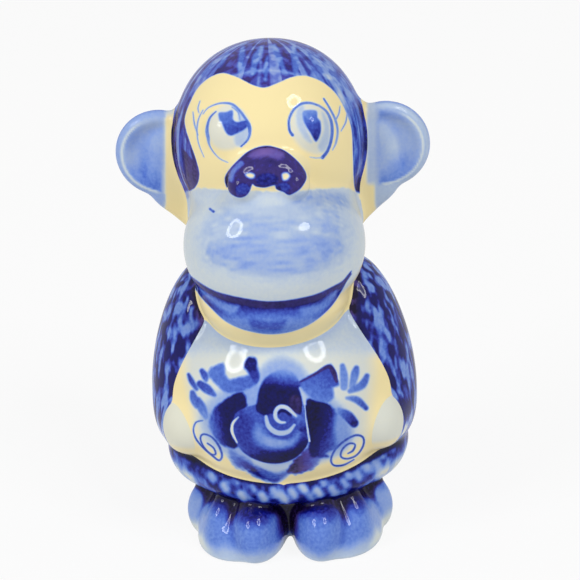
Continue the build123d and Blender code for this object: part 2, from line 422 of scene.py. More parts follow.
def mesh_of(name: str, points: Array, triangles: Array, quads: Array) -> bpy.types.Mesh:
    """Makes a mesh from arrays.

    Args:
        name: the mesh's name.
        points: places in millimetres.
        triangles: three point numbers each.
        quads: four point numbers each.

    Returns:
        The mesh, in metres.
    """
    mesh = bpy.data.meshes.new(name)
    mesh.vertices.add(len(points))
    mesh.vertices.foreach_set("co", (points * MM).astype(np.float32).ravel())
    corners = np.concatenate([triangles.ravel(), quads.ravel()]).astype(np.int32)
    sizes = np.concatenate([np.full(len(triangles), 3), np.full(len(quads), 4)])
    mesh.loops.add(len(corners))
    mesh.loops.foreach_set("vertex_index", corners)
    mesh.polygons.add(len(sizes))
    starts = np.concatenate([[0], np.cumsum(sizes)[:-1]]).astype(np.int32)
    mesh.polygons.foreach_set("loop_start", starts)
    mesh.update(calc_edges=True)
    mesh.validate()
    return mesh


def points_of(mesh: bpy.types.Mesh) -> Array:
    """A mesh's points, in millimetres."""
    places = np.empty(len(mesh.vertices) * 3, np.float32)
    mesh.vertices.foreach_get("co", places)
    return places.reshape(-1, 3).astype(float) / MM


def triangles_of(mesh: bpy.types.Mesh) -> Array:
    """A mesh's faces as triangles, three point numbers each."""
    mesh.calc_loop_triangles()
    corners = np.empty(len(mesh.loop_triangles) * 3, np.int32)
    mesh.loop_triangles.foreach_get("vertices", corners)
    return corners.reshape(-1, 3)


def halved(points: Array, triangles: Array, wanted: Array) -> tuple[Array, Array]:
    """Halves the edges of some triangles, and parts their neighbours to suit.

    Args:
        points: places in millimetres.
        triangles: three point numbers each.
        wanted: which triangles are to be parted in four.

    Returns:
        The points and the triangles, with the new ones.
    """
    sides = np.stack([triangles, np.roll(triangles, -1, 1)], 2)
    edges, number = np.unique(np.sort(sides, 2).reshape(-1, 2), axis=0, return_inverse=True)
    number = number.reshape(-1, 3)
    split = np.zeros(len(edges), bool)
    split[number[wanted].ravel()] = True
    middle = np.where(split, len(points) + np.cumsum(split) - 1, -1)
    points = np.concatenate([points, points[edges[split]].mean(1)])
    cuts = split[number]
    count = cuts.sum(1)
    turn = np.where(count == 1, cuts.argmax(1), np.where(count == 2, (np.argmin(cuts, 1) + 1) % 3, 0))
    order = (np.arange(3) + turn[:, None]) % 3
    a, b, c = np.take_along_axis(triangles, order, 1).T
    ab, bc, ca = np.take_along_axis(middle[number], order, 1).T
    layouts = {
        0: ((a, b, c),),
        1: ((a, ab, c), (ab, b, c)),
        2: ((ab, b, bc), (a, ab, bc), (a, bc, c)),
        3: ((a, ab, ca), (ab, b, bc), (ca, bc, c), (ab, bc, ca)),
    }
    parted = [
        np.stack(corners, 1)[count == cut_sides]
        for cut_sides, layout in layouts.items()
        for corners in layout
    ]
    return points, np.concatenate(parted)


def object_of(name: str, data: bpy.types.Mesh | bpy.types.Camera | bpy.types.Light) -> bpy.types.Object:
    """Puts a mesh, a camera or a lamp into the scene as an object of that name."""
    thing = bpy.data.objects.new(name, data)
    bpy.context.scene.collection.objects.link(thing)
    return thing


def carved(body: bpy.types.Mesh, tool: bpy.types.Mesh, operation: str) -> bpy.types.Mesh:
    """Cuts one closed mesh with another.

    Args:
        body: the mesh that is cut.
        tool: the mesh that cuts it.
        operation: INTERSECT keeps what is inside the tool, DIFFERENCE what is outside.

    Returns:
        A new mesh.
    """
    kept, knife = object_of("kept", body), object_of("knife", tool)
    modifier = kept.modifiers.new("cut", "BOOLEAN")
    modifier.operation, modifier.solver, modifier.object = operation, "MANIFOLD", knife
    graph = bpy.context.evaluated_depsgraph_get()
    result = bpy.data.meshes.new_from_object(kept.evaluated_get(graph))
    for helper in (kept, knife):
        bpy.data.objects.remove(helper)
    return result


# Clay members


@dataclass(frozen=True)
class Member:
    """One clay member of the figurine.

    Fields:
        name: the CAD node that its piece stands for.
        slot: the record's material slot; not used by this script.
        shapes: what it is made of, with the softness of the crease where each meets the rest.
    """

    name: str
    slot: str
    shapes: tuple[tuple[Shape, float], ...]


@dataclass(frozen=True)
class Body:
    """The slip-cast body: torso, head, muzzle and lower jaw over one hollow. Sizes in millimetres.

    Fields beside its forms:
        wall: the thickness of the casting.
        drain: across, back and radius of the hole in the foot.
        hollow_step: between the neighbours of the hollow's own lattice.
        hollow_softness: of the creases inside.
    """

    wall: float = 3.2
    drain: Point = (0.0, 4.0, 4.5)
    hollow_step: float = 1.0
    hollow_softness: float = 2.0
    trunk: Form = Form((0, 4.0, 36.0), (25.2, 21.5, 30.0))
    seat: Form = Form((0, 5.0, 11.5), (21.0, 18.5, 15.0))
    belly: Form = Form((0, -5.0, 34.5), (24.4, 20.3, 22.0))
    skull: Form = Form((-0.4, 3.2, 89.2), (20.2, 20.0, 20.8), fullness=2.1)
    nape: Form = Form((0, 0.2, 71.0), (18.0, 15.5, 15.0))
    muzzle: Form = Form((0, -8.8, 69.6), (19.1, 17.0, 15.8), fullness=2.08)
    bridge: Form = Form((0, -15.8, 81.0), (9.0, 5.8, 5.6))
    jaw: Form = Form((-0.7, -7.8, 60.2), (16.2, 15.6, 14.0))
    lip: Form = Form((-0.3, -9.2, 58.5), (13.8, 15.1, 4.6), fullness=2.2)
    eye: Form = Form((7.9, -11.08, 95.2), (4.7, 4.4, 4.9))

    def members(self) -> list[Member]:
        """The four members that share the hollow."""
        eyes = tuple((self.eye.mirrored(side), 1.4) for side in Side)
        return [
            Member("torso", "belly_porcelain", ((self.trunk, 2.0), (self.seat, 5.0), (self.belly, 6.0))),
            Member("head", "face_porcelain", ((self.skull, 2.4), (self.nape, 4.0)) + eyes),
            Member("muzzle", "pale_porcelain", ((self.muzzle, 2.6), (self.bridge, 3.0))),
            Member("lower_jaw", "lip_porcelain", ((self.jaw, 1.0), (self.lip, 3.0))),
        ]

    def hollow(self) -> bpy.types.Mesh:
        """The casting's inside, coarser than the skin because it shows only through the drain hole."""
        lattice = Lattice(np.min(NODE_CORNERS, 0), np.max(NODE_CORNERS, 0), self.hollow_step)
        for form in (self.trunk, self.seat, self.belly, self.skull, self.nape, self.muzzle, self.jaw):
            lattice.join(lattice.values, form.inset(self.wall), self.hollow_softness)
        floor = self.wall - lattice.axes[2][None, None, :]
        return mesh_of("hollow", *lattice.surface(np.maximum(lattice.values, floor)))


@dataclass(frozen=True)
class Additions:
    """What is modelled by hand and luted to the cast body. Sizes in millimetres, for the left side."""

    nose_pad: Form = Form((0, -15.37, 88.1), (8.1, 6.0, 4.8))
    nostril: Form = Form((5.1, -18.17, 85.9), (3.3, 3.8, 3.4))
    ear_dish: Dish = Dish((24.0, 3.2, 86.7), 9.5, 1.7, 0.4, 2.6)
    ear_root: Form = Form((19.2, 3.2, 80.3), (6.6, 2.6, 12.0), (0, 24.0, 0))
    ear_step: Form = Form((18.4, 3.2, 86.4), (6.4, 2.5, 10.0))
    ear_lobe: Form = Form((22.3, 3.2, 79.7), (4.8, 2.4, 5.5), (0, 32.0, 0))
    upper_arm: Form = Form((20.0, 0.2, 41.5), (8.2, 12.5, 22.0), (0, -12.0, 0))
    forearm: Form = Form((22.0, -6.5, 29.5), (5.0, 8.5, 7.0))
    hand: Form = Form((20.8, -12.64, 30.2), (4.2, 5.0, 5.6))
    shin: Ring = Ring((0, 4.0, 18.2), 20.4, 18.0, 5.7, 3.0, Side.LEFT)
    haunch: Form = Form((18.2, 5.0, 18.2), (8.0, 13.0, 7.6))
    instep: Form = Form((11.0, -6.5, 0), (8.4, 11.4, 13.6))
    ball: Form = Form((10.6, -6.4, 0.3), (10.1, 13.9, 11.2), fullness=2.2)
    big_toe: Form = Form((6.9, -12.0, 4.6), (6.1, 10.7, 9.0), (0, 0, 3.0))
    middle_toe: Form = Form((11.4, -9.2, 4.6), (5.0, 9.0, 9.0), (0, 0, 40.0))
    outer_toe: Form = Form((14.0, -2.6, 4.6), (5.4, 9.2, 9.0), (0, 0, 80.0))

    def members(self) -> list[Member]:
        """The nose, and each side's ear, hand, arm, leg and foot."""
        nostrils = tuple((self.nostril.mirrored(side), 1.0) for side in Side)
        found = [Member("nose", "cobalt_porcelain", ((self.nose_pad, 1.6),) + nostrils)]
        ear = ((self.ear_root, 3.0), (self.ear_step, 2.0), (self.ear_lobe, 2.4), (self.ear_dish, 0.8))
        toes = ((self.big_toe, 1.2), (self.middle_toe, 1.2), (self.outer_toe, 1.2))
        parts = {
            "ear": ("pale_porcelain", ear),
            "hand": ("pale_porcelain", ((self.hand, 4.0),)),
            "arm": ("cobalt_porcelain", ((self.upper_arm, 2.2), (self.forearm, 4.0))),
            "leg": ("cobalt_porcelain", ((self.shin, 1.2), (self.haunch, 4.0))),
            "foot": ("cobalt_porcelain", ((self.instep, 1.6), (self.ball, 2.0)) + toes),
        }
        for side in Side:
            for word, (slot, shapes) in parts.items():
                mirrored = tuple((shape.mirrored(side), softness) for shape, softness in shapes)
                found.append(Member(f"{side.word}_{word}", slot, mirrored))
        return found


class Skin:
    """The whole figurine's glazed outside, and the pieces that it is parted into. Lengths in millimetres.

    Args:
        members: every member, the torso first.
        step: between the lattice's neighbours.
        parting_step: between the neighbours of the lattice that the skin is parted on.
    """

    GLAZE = 0.45  # the width over which the glaze fills every edge
    HOLLOWS = 1.3  # the width over which the creases between members are looked for
    EDGE = 0.8  # the rounding of the foot's edge and of the drain hole's
    DRAIN_DEPTH = 5.0
    REGION = 2.2  # how far outside its own forms a member's space goes

    def __init__(self, members: Sequence[Member], step: float, parting_step: float = 0.8) -> None:
        """Works out the skin, and what its parting needs."""
        low, high = np.min(NODE_CORNERS, 0), np.max(NODE_CORNERS, 0)
        self.members = list(members)
        self.lattice = Lattice(low - ROOM, high + ROOM, step)
        self.parting = Lattice(low - ROOM, high + ROOM, parting_step)
        self.own = {member.name: self.field_of(member) for member in self.members}
        self.values = self.whole()
        self.slopes = self.lattice.slopes(self.values)
        self.softer = self.lattice.soften(self.values, self.HOLLOWS)

    def field_of(self, member: Member) -> Array:
        """One member's own field, with creases between its own forms only.

        Args:
            member: the member.

        Returns:
            Its distances on the parting lattice.
        """
        values = self.parting.empty()
        for shape, softness in member.shapes:
            self.parting.join(values, shape, softness)
        return values

    def whole(self) -> Array:
        """All members as one body of clay under one glaze, cut flat on the ground."""
        lattice, values = self.lattice, self.lattice.empty()
        for member in self.members:
            for shape, softness in member.shapes:
                lattice.join(values, shape, softness)
        values = lattice.soften(values, self.GLAZE)
        x, y, z = lattice.axes
        across, back, radius = Body.drain
        drain = radius - np.sqrt((x - across)[:, None] ** 2 + (y - back)[None, :] ** 2)
        drain = np.minimum(drain[:, :, None], self.DRAIN_DEPTH - z[None, None, :])
        values = soft_cut(values, drain.astype(np.float32), self.EDGE)
        return soft_cut(values, -z[None, None, :] + 0 * values, self.EDGE)

    def pieces(self, hollow: bpy.types.Mesh) -> dict[str, bpy.types.Mesh]:
        """Parts the skin along the creases between its members.

        Args:
            hollow: the casting's inside.

        Returns:
            A closed mesh for each member's name.
        """
        rest = carved(mesh_of("skin", *self.lattice.surface(self.values)), hollow, "DIFFERENCE")
        found = {}
        for number in range(len(self.members) - 1, 0, -1):
            member = self.members[number]
            region = self.region(member, self.members[:number])
            found[member.name] = carved(rest, region, "INTERSECT")
            rest = carved(rest, region, "DIFFERENCE")
        found[self.members[0].name] = rest
        return found

    def region(self, member: Member, rivals: Sequence[Member]) -> bpy.types.Mesh:
        """The space round one member that is nearer to it than to any of its rivals.

        Args:
            member: the member.
            rivals: those that it is parted from.

        Returns:
            A closed mesh round that space.
        """
        own = self.own[member.name]
        others = self.parting.empty()
        for rival in rivals:
            np.minimum(others, self.own[rival.name], out=others)
        return mesh_of("region", *self.parting.surface(np.maximum(own - others, own - self.REGION)))


# The photograph's view, which the painting is set out in


def way_to(azimuth: float, elevation: float) -> Vector:
    """The way out to degrees round from the front, towards +X, and degrees above the floor."""
    a, e = math.radians(azimuth), math.radians(elevation)
    return Vector((math.sin(a) * math.cos(e), -math.cos(a) * math.cos(e), math.sin(e)))


@dataclass(frozen=True)
class View:
    """The photograph's camera. Angles in degrees, lengths in millimetres, places in it in its pixels."""

    azimuth: float = 3.0
    elevation: float = 22.0
    roll: float = -3.1
    distance: float = 420.0
    aim: Point = (0.0, 0.0, 52.0)
    aim_pixel: tuple[float, float] = (280.0, 305.5)
    pixel: float = 0.2174
    frame: float = 580.0
    sensor: float = 36.0

    def axes(self) -> tuple[Vector, Vector, Vector]:
        """The picture's right, its up, and the way back from the aim to the camera."""
        azimuth, roll = math.radians(self.azimuth), math.radians(self.roll)
        back = way_to(self.azimuth, self.elevation)
        right = Vector((math.cos(azimuth), math.sin(azimuth), 0))
        up = back.cross(right)
        turned = math.cos(roll) * right + math.sin(roll) * up
        return turned, math.cos(roll) * up - math.sin(roll) * right, back

    def plate(self, points: Array) -> tuple[Array, Array]:
        """Where points in millimetres stand in the picture, across from its left and down from its top.

        Args:
            points: the places.

        Returns:
            Their pixels across and down.
        """
        right, up, back = (np.array(axis) for axis in self.axes())
        offset = points - np.array(self.aim)
        shrink = self.distance / (self.distance - offset @ back) / self.pixel
        return self.aim_pixel[0] + offset @ right * shrink, self.aim_pixel[1] - offset @ up * shrink

    def camera(self) -> None:
        """Sets the camera in the scene."""
        right, up, back = self.axes()
        data = bpy.data.cameras.new("camera")
        data.sensor_width = self.sensor
        data.lens = data.sensor_width * self.distance / self.pixel / self.frame
        data.shift_x = (self.frame / 2 - self.aim_pixel[0]) / self.frame
        data.shift_y = (self.aim_pixel[1] - self.frame / 2) / self.frame
        camera = object_of("camera", data)
        place = (Vector(self.aim) + back * self.distance) * MM
        camera.matrix_world = Matrix.Translation(place) @ Matrix((right, up, back)).transposed().to_4x4()
        bpy.context.scene.camera = camera


VIEW = View()


# Brushwork


def curve(points: Line, closed: bool = False) -> Array:
    """A smooth line through given points, as a Catmull-Rom spline.

    Args:
        points: places in the picture, each with any further values that vary along the line.
        closed: whether it comes back to its start.

    Returns:
        The line's points, six short runs to each set point.
    """
    set_points = np.array(points, float)
    if closed:
        padded = np.concatenate([set_points[-1:], set_points, set_points[:2]])
    else:
        padded = np.concatenate([set_points[:1], set_points, set_points[-1:]])
    share = np.linspace(0, 1, 6, endpoint=False)[:, None]
    runs = [
        b + 0.5 * share * (c - a + share * (2 * a - 5 * b + 4 * c - d + share * (3 * (b - c) + d - a)))
        for a, b, c, d in zip(padded, padded[1:], padded[2:], padded[3:])
    ]
    return np.concatenate(runs + [padded[-2:-1]])


def speckle(points: Array, size: float, seed: int) -> Array:
    """Smooth noise from 0 to 1, whose blots are about that many millimetres wide.

    Args:
        points: places in millimetres.
        size: the width of the blots.
        seed: the number of the pattern.

    Returns:
        A value for each point.
    """
    place = points / size + seed * 17.31
    base = np.floor(place).astype(np.int64)
    part = place - base
    part = part * part * (3 - 2 * part)
    total = np.zeros(len(points))
    for corner in np.ndindex(2, 2, 2):
        weight = np.prod(np.where(corner, part, 1 - part), axis=1)
        i, j, k = (base + corner).T
        # Large odd factors scatter the cell's numbers into a value of their own
        code = (i * 374761393 + j * 668265263 + k * 1442695041 + seed * 974711) & 0x7FFFFFFF
        code = ((code ^ (code >> 13)) * 1274126177) & 0x7FFFFFFF
        total += weight * ((code ^ (code >> 16)) & 0xFFFF) / 65535
    return total


@dataclass(frozen=True)
class Mark:
    """One mark of the brush on the front, in the picture's pixels.

    Fields:
        soft: how far its edge fades.
        loads: what it lays down, by the coat's names. A pair runs along the stroke or the patch's axis.
        points: across and down at each set point of a patch's outline, and the width too for a stroke.
        axis: the two points between which a patch's pairs run.
        rough: how far bristles fray a patch's edge.
    """

    soft: float
    loads: dict[str, Load]
    points: Line
    axis: Line | None = None
    rough: float = 0.0


class Coat:
    """The painting on one piece, as a value at each point of its mesh.

    The painted values are cobalt (how thick the pigment lies, 1 is nearly black), cream (how warm the
    white is), violet (how far the pigment leans to violet) and dabs (how far it is dabbed on as fur).

    Args:
        points: the mesh's points in millimetres.
        normals: the skin's normals there.
        crease: how deep each lies in a crease, from 0 to 1.
    """

    def __init__(self, points: Array, normals: Array, crease: Array) -> None:
        """Starts the piece off bare."""
        self.points, self.crease = points, crease
        self.across, self.down = VIEW.plate(points)
        self.toward = normals @ np.array(VIEW.axes()[2])
        self.facing = smooth_step(0.0, 0.16, self.toward)
        self.cobalt, self.cream, self.violet, self.dabs = (np.zeros(len(points)) for _ in PAINTS)

    def lay(self, mask: Array | float, where: Array | None = None, **loads: float | Array) -> None:
        """Lays loads over what is there.

        Args:
            mask: how far they cover, from 0 to 1.
            where: the numbers of the points that the mask is for, or none for all of them.
            loads: the new values, by the coat's names.
        """
        part = slice(None) if where is None else where
        for name, load in loads.items():
            values = getattr(self, name)
            values[part] += (load - values[part]) * mask

    def draw(self, marks: Iterable[Mark]) -> None:
        """Draws marks in their order, strokes for those whose points have widths.

        Args:
            marks: the marks.
        """
        for mark in marks:
            stroke = len(mark.points[0]) > 2
            line = curve(mark.points, closed=not stroke)
            reach = mark.soft + (line[:, 2].max() if stroke else mark.rough)
            where = self.near(line, reach)
            if len(where):
                gap, along = self.stroked(line, where) if stroke else self.filled(mark, line, where)
                mask = smooth_step(mark.soft / 2, -mark.soft / 2, gap) * self.facing[where]
                loads = {
                    name: load[0] + (load[1] - load[0]) * along if isinstance(load, tuple) else load
                    for name, load in mark.loads.items()
                }
                self.lay(mask, where, **loads)

    def near(self, line: Array, reach: float) -> Array:
        """The numbers of the points that lie in the picture's box round a line."""
        low, high = line[:, :2].min(0) - reach, line[:, :2].max(0) + reach
        inside = (self.across > low[0]) & (self.across < high[0]) & (self.facing > 0)
        return np.nonzero(inside & (self.down > low[1]) & (self.down < high[1]))[0]

    def stroked(self, line: Array, where: Array) -> tuple[Array, Array]:
        """How far points lie outside a stroke, and how far along it.

        Args:
            line: the stroke's smooth line, with widths.
            where: the points' numbers.

        Returns:
            The gap in pixels, less than 0 inside, and the share of the line from 0 to 1.
        """
        place = np.stack([self.across[where], self.down[where]], 1)
        best, along = np.full(len(where), np.inf), np.zeros(len(where))
        for number, (start, end) in enumerate(zip(line, line[1:])):
            run = end[:2] - start[:2]
            share = np.clip((place - start[:2]) @ run / max(run @ run, TINY), 0, 1)
            gap = np.linalg.norm(place - start[:2] - share[:, None] * run, axis=1)
            gap -= (start[2] + share * (end[2] - start[2])) / 2
            along = np.where(gap < best, (number + share) / (len(line) - 1), along)
            best = np.minimum(best, gap)
        return best, along

    def filled(self, mark: Mark, line: Array, where: Array) -> tuple[Array, Array]:
        """How far points lie outside a patch, and how far along its axis.

        Args:
            mark: the patch.
            line: its smooth outline.
            where: the points' numbers.

        Returns:
            The gap in pixels, less than 0 inside, and the share of the axis from 0 to 1.
        """
        u, v = self.across[where], self.down[where]
        best, inside = np.full(len(where), np.inf), np.zeros(len(where), bool)
        for (x0, y0), (x1, y1) in zip(line, line[1:]):
            run_x, run_y = x1 - x0, y1 - y0
            length = max(run_x**2 + run_y**2, TINY)
            share = np.clip(((u - x0) * run_x + (v - y0) * run_y) / length, 0, 1)
            best = np.minimum(best, np.hypot(u - x0 - share * run_x, v - y0 - share * run_y))
            if y0 != y1:
                crosses = (v < y0) != (v < y1)
                inside ^= crosses & (u < x0 + (v - y0) * run_x / run_y)
        gap = np.where(inside, -best, best)
        if mark.rough:
            gap = gap + mark.rough * (speckle(self.points[where], 0.7, 5) - 0.5) * 2
        if mark.axis is None:
            return gap, np.zeros(len(where))
        (x0, y0), (x1, y1) = mark.axis
        share = ((u - x0) * (x1 - x0) + (v - y0) * (y1 - y0)) / ((x1 - x0) ** 2 + (y1 - y0) ** 2)
        return gap, np.clip(share, 0, 1)


# What is painted on the front, in the picture's pixels

FACE = (
    (264.4, 87.5), (253, 85), (244.7, 80.8), (234.4, 76), (221.9, 73), (209.5, 77.5), (199.1, 86.4),
    (191.9, 98), (186.5, 110.8), (184.5, 120), (186, 130), (190.5, 144), (195.5, 158.5), (199, 172),
    (197.5, 183), (192, 190), (186, 215), (200, 235), (270, 245), (345, 235), (359, 207), (354.6, 187.5),
    (353.5, 175), (352.9, 154.4), (351.5, 129.5), (346.3, 112.9), (338, 96.5), (327.6, 85.5), (315.2, 78.5),
    (302.8, 75.5), (290.3, 77.4), (277.9, 82.8),
)
LOCK = ((183, 150), (189, 156), (196, 164), (199, 174), (196.5, 185), (191.5, 189), (187, 178), (184, 165))
CROWN_STROKES = (
    ((243, 47, 4), (241.5, 58, 7), (240, 72, 4)),
    ((261.5, 48, 4), (256, 58, 8), (253, 73, 5)),
    ((267.5, 57, 3), (266, 68, 5), (265.5, 80, 3)),
    ((274, 46, 5), (279, 58, 7), (284, 71, 4)),
    ((293.5, 47, 4), (295, 60, 8), (295.5, 73, 4)),
    ((309, 54, 4), (317, 64, 6), (322, 73, 3.5)),
    ((325, 62, 4), (333, 73, 6), (339, 84, 4)),
    ((341, 78, 4), (347, 90, 6), (351, 100, 4)),
    ((228, 52, 2), (224, 60, 3.5), (219, 67, 2)),
    ((213, 62, 2), (206, 70, 3), (199, 79, 2)),
)
EYE_WASHES = (
    (
        (214, 112), (226, 104), (240, 109), (249, 122), (248, 137), (238, 147), (224, 150), (213, 145),
        (208, 132), (209, 120),
    ),
    (
        (292, 116), (300, 105), (314, 104), (326, 112), (331, 126), (330, 142), (322, 154), (308, 152),
        (296, 142), (290, 128),
    ),
)
EYE_SHADES = (
    ((240, 110), (246, 117), (250, 128), (246, 141), (238, 146), (234, 138), (240, 128), (238, 118)),
    ((298, 108), (304, 106), (304, 116), (306, 128), (312, 142), (306, 140), (298, 128), (296, 116)),
    ((322, 112), (329, 124), (329, 142), (323, 152), (318, 146), (324, 130)),
)
EYE_LINES = (
    # each line, and the loads at its two ends
    ((
        (203, 114, 0.8), (208, 108, 1.2), (217, 104, 1.6), (225, 103, 2), (232.5, 104.5, 2.6),
        (239, 110, 2.6), (245, 118, 2.6), (249.4, 125, 2.8), (250, 132.5, 2.6), (247.5, 140, 2.2),
        (241, 146.5, 1.4),
    ), (0.5, 0.62)),
    ((
        (216, 111.5, 1.2), (210.5, 117, 2), (207.8, 124, 2.6), (207, 131, 3.4), (208.2, 138, 3.4),
        (209.4, 145, 1.8), (213.8, 152.5, 1.4), (220, 158.8, 1.2), (228, 162.5, 0.8),
    ), (0.7, 0.34)),
    ((
        (292.5, 135, 3), (289.5, 130, 2.6), (289, 120, 2.4), (293.5, 110, 2.4), (301, 104, 2.6),
        (310, 103, 2.4), (318.8, 105.6, 2),
    ), (0.7, 0.56)),
    ((
        (318.8, 105.6, 2), (326, 111, 2.4), (330.8, 120, 3), (332.2, 130, 3.2), (331, 141, 3),
        (327.5, 151, 3), (322.5, 157.5, 3.4),
    ), (0.5, 0.72)),
    ((
        (323.8, 98.8, 2), (330, 108.8, 2.2), (335.4, 120, 2.4), (337.6, 131, 2.4), (336, 142.5, 2.2),
        (332.5, 150, 1.2),
    ), (0.6, 0.34)),
    (((310, 157, 0.8), (316, 158, 1), (322, 157.6, 1.2)), (0.3, 0.4)),
    (((232, 107, 1), (238, 112, 1.6), (240, 120, 1.2)), (0.5, 0.4)),
    (((246, 122, 3), (249, 127, 3), (249.5, 133, 2.4)), (0.72, 0.6)),
)
LASHES = (
    ((200, 101, 1), (198, 108, 1.4), (199, 113, 1)),
    ((193, 112, 1), (194.5, 124, 1.6), (198, 135, 1)),
    ((203, 110, 1), (198.6, 119, 1.5), (197, 130, 1.5), (198.5, 143, 1.2), (204, 157, 0.8)),
    ((340, 106, 1), (338.8, 113.8, 1.6), (335, 121, 1.2)),
    ((347, 113.8, 1.2), (345.6, 122.5, 1.6), (341, 131, 1)),
)
IRISES = (
    # outline, its axis, and its loads at the axis's two ends
    ((
        (218.8, 113), (226, 112), (232.6, 110.5), (233, 118.8), (237, 122), (245, 120.6), (247.5, 125),
        (245, 129), (238.8, 132.5), (231, 135.6), (226, 132.5), (222, 123.8), (219.4, 120),
    ), ((226, 112), (238, 131)), (0.6, 0.8)),
    ((
        (303.8, 111), (316, 110.6), (317.5, 117.5), (320.5, 122), (320.6, 132.5), (316, 141.5), (311, 133.8),
        (306, 126), (303, 118.8),
    ), ((308, 112), (315, 134)), (0.52, 0.9)),
)
NOSE = (
    (225, 181), (226, 175), (231, 167.5), (238.8, 159.5), (247.5, 152), (257.5, 147.5), (267.5, 146),
    (276, 147.5), (285, 151), (293.8, 157.5), (301, 165), (305.6, 172.5), (306.2, 179), (302.5, 186),
    (297.5, 191), (289, 195), (283, 191.5), (276.5, 189), (274.5, 185), (265, 187.5), (256, 186.4),
    (252.4, 184.4), (250, 190), (246, 195.6), (238.8, 197.5), (231, 193.8), (227, 187.5),
)
# The violet on the nose's top: partly the pigment's violet bloom, partly a painted reflection of the pale
# surround.
NOSE_BLOOM_AND_SHEEN = (
    (254, 150), (266, 147.6), (277, 149), (284, 154), (278, 159), (266, 156), (255, 158), (249, 156),
)
NOSE_GAPS = (
    ((245.5, 174), (250, 172.6), (254.6, 174.6), (253.6, 178), (250, 178.4), (246.6, 176.6)),
    ((282, 174), (287, 172.4), (290, 176), (287, 180), (283, 180)),
)
NOSTRILS = (
    ((236, 187), (243, 183), (250, 187), (247, 193), (240, 195), (236, 192)),
    ((276, 185), (284, 182), (290, 186), (288, 192), (282, 191), (277, 188)),
)
MUZZLE_EDGE = (
    (180, 200), (192, 190), (205, 188), (225, 190), (250, 191), (280, 191), (310, 190), (335, 188),
    (352, 190), (362, 205), (366, 250), (350, 285), (320, 302), (268, 308), (220, 300), (190, 285),
    (178, 250),
)
MUZZLE_WASHES = (
    # outline, how far it fades, and its load
    ((
        (206, 222), (232, 205), (270, 208), (312, 198), (340, 206), (350, 232), (344, 258), (318, 274),
        (262, 276), (214, 266), (200, 244),
    ), 26.0, 0.235),
    ((
        (212, 246), (240, 240), (272, 243), (306, 240), (334, 236), (340, 250), (322, 264), (290, 272),
        (262, 272), (232, 266), (214, 258),
    ), 15.0, 0.36),
    (((296, 196), (314, 193), (338, 194), (348, 203), (338, 212), (312, 210), (298, 206)), 14.0, 0.28),
    (((246, 218), (262, 214), (276, 224), (268, 236), (250, 236)), 14.0, 0.31),
    (((322, 212), (336, 216), (340, 236), (330, 246), (322, 230)), 12.0, 0.32),
)
MUZZLE_STREAKS = (
    ((208, 252, 2), (240, 249, 5), (280, 252, 6), (320, 247, 4), (338, 244, 2)),
    ((214, 262, 2), (242, 258, 5), (284, 261, 6), (318, 256, 4)),
    ((232, 269, 2), (262, 268, 4), (296, 270, 2)),
    ((226, 240, 2), (256, 238, 5), (300, 241, 2)),
    ((250, 228, 2), (290, 222, 5), (326, 226, 2)),
)
# The mouth line: partly a painted mouth, partly painted shade in the groove under the muzzle.
MOUTH = (
    (187, 273, 2), (194, 281, 4), (211, 292, 5), (228, 298, 6), (251, 303, 7), (270, 305, 7), (293, 303, 7),
    (317, 297, 6), (336, 287, 4), (346, 280, 2.2), (351, 274, 1.2),
)
LIP = (
    (188, 272), (196, 284), (211, 293), (228, 299), (251, 303), (270, 305), (293, 303), (317, 297),
    (336, 288), (351, 271), (348, 279), (336, 300), (325, 313), (312, 323), (297, 330), (282, 333.5),
    (268, 334.2), (255, 332.5), (240, 328.5), (225, 321), (212, 309), (198, 293),
)
ROSE_BOWL = (
    (237, 412), (233, 422), (232, 433), (236, 443), (243, 452), (253, 458.5), (265, 462.5), (277.5, 463.5),
    (290, 460.5), (300, 454), (307, 445), (309, 435), (306.5, 425), (303, 412), (292, 402), (270, 402),
    (250, 406),
)
ROSE_BUD = (
    (256, 408), (257.6, 399), (259, 391), (263, 381), (270, 374), (281, 369), (292, 371.5), (299, 381),
    (301.6, 392), (302.4, 404), (300.6, 413.6), (293, 417), (280, 418), (266, 416), (259, 412.6),
)
ROSE_PETALS = (
    # outline, its axis from the dark end to the light, and its loads there
    ((
        (304, 405), (308.5, 399), (317, 400.5), (327.5, 403.5), (335, 410), (341, 420), (345, 431),
        (342, 442), (335, 449), (326, 453), (329, 457), (319, 458), (310, 456), (309, 442.5), (307.5, 430),
        (304.6, 417.5),
    ), ((313, 424), (343, 434)), (1.24, 0.62)),
    ((
        (218, 405), (228.8, 397.5), (237.5, 392.5), (244, 394), (246.6, 404), (244, 412.5), (236.5, 418),
        (232.4, 426), (232.6, 436), (238, 446), (231, 448), (220, 443.5), (212.5, 434), (208.5, 425),
        (211, 413.8),
    ), ((226, 420), (207, 424)), (1.14, 0.5)),
    ((
        (225, 392), (216, 384), (209.4, 377), (208.8, 371), (214, 366), (223.6, 363.8), (225, 374),
        (230, 379.5), (239, 377), (246, 376), (258, 371), (259, 379), (254, 386), (241, 391.5), (230, 393),
    ), ((256, 380), (212, 370)), (0.7, 0.62)),
    ((
        (243.6, 366), (246, 360), (250.4, 357), (256, 358.8), (258, 368), (259, 379), (254.6, 381),
        (249, 374),
    ), ((253, 358), (256, 382)), (1.06, 0.82)),
    ((
        (298.8, 382.5), (306, 377.5), (318.8, 371), (328.8, 364.6), (332.6, 366), (335, 376), (339, 384.6),
        (333, 388), (334, 397.5), (325, 402.5), (312.5, 399.4), (305, 392),
    ), ((322, 372), (314, 398)), (0.78, 0.6)),
)
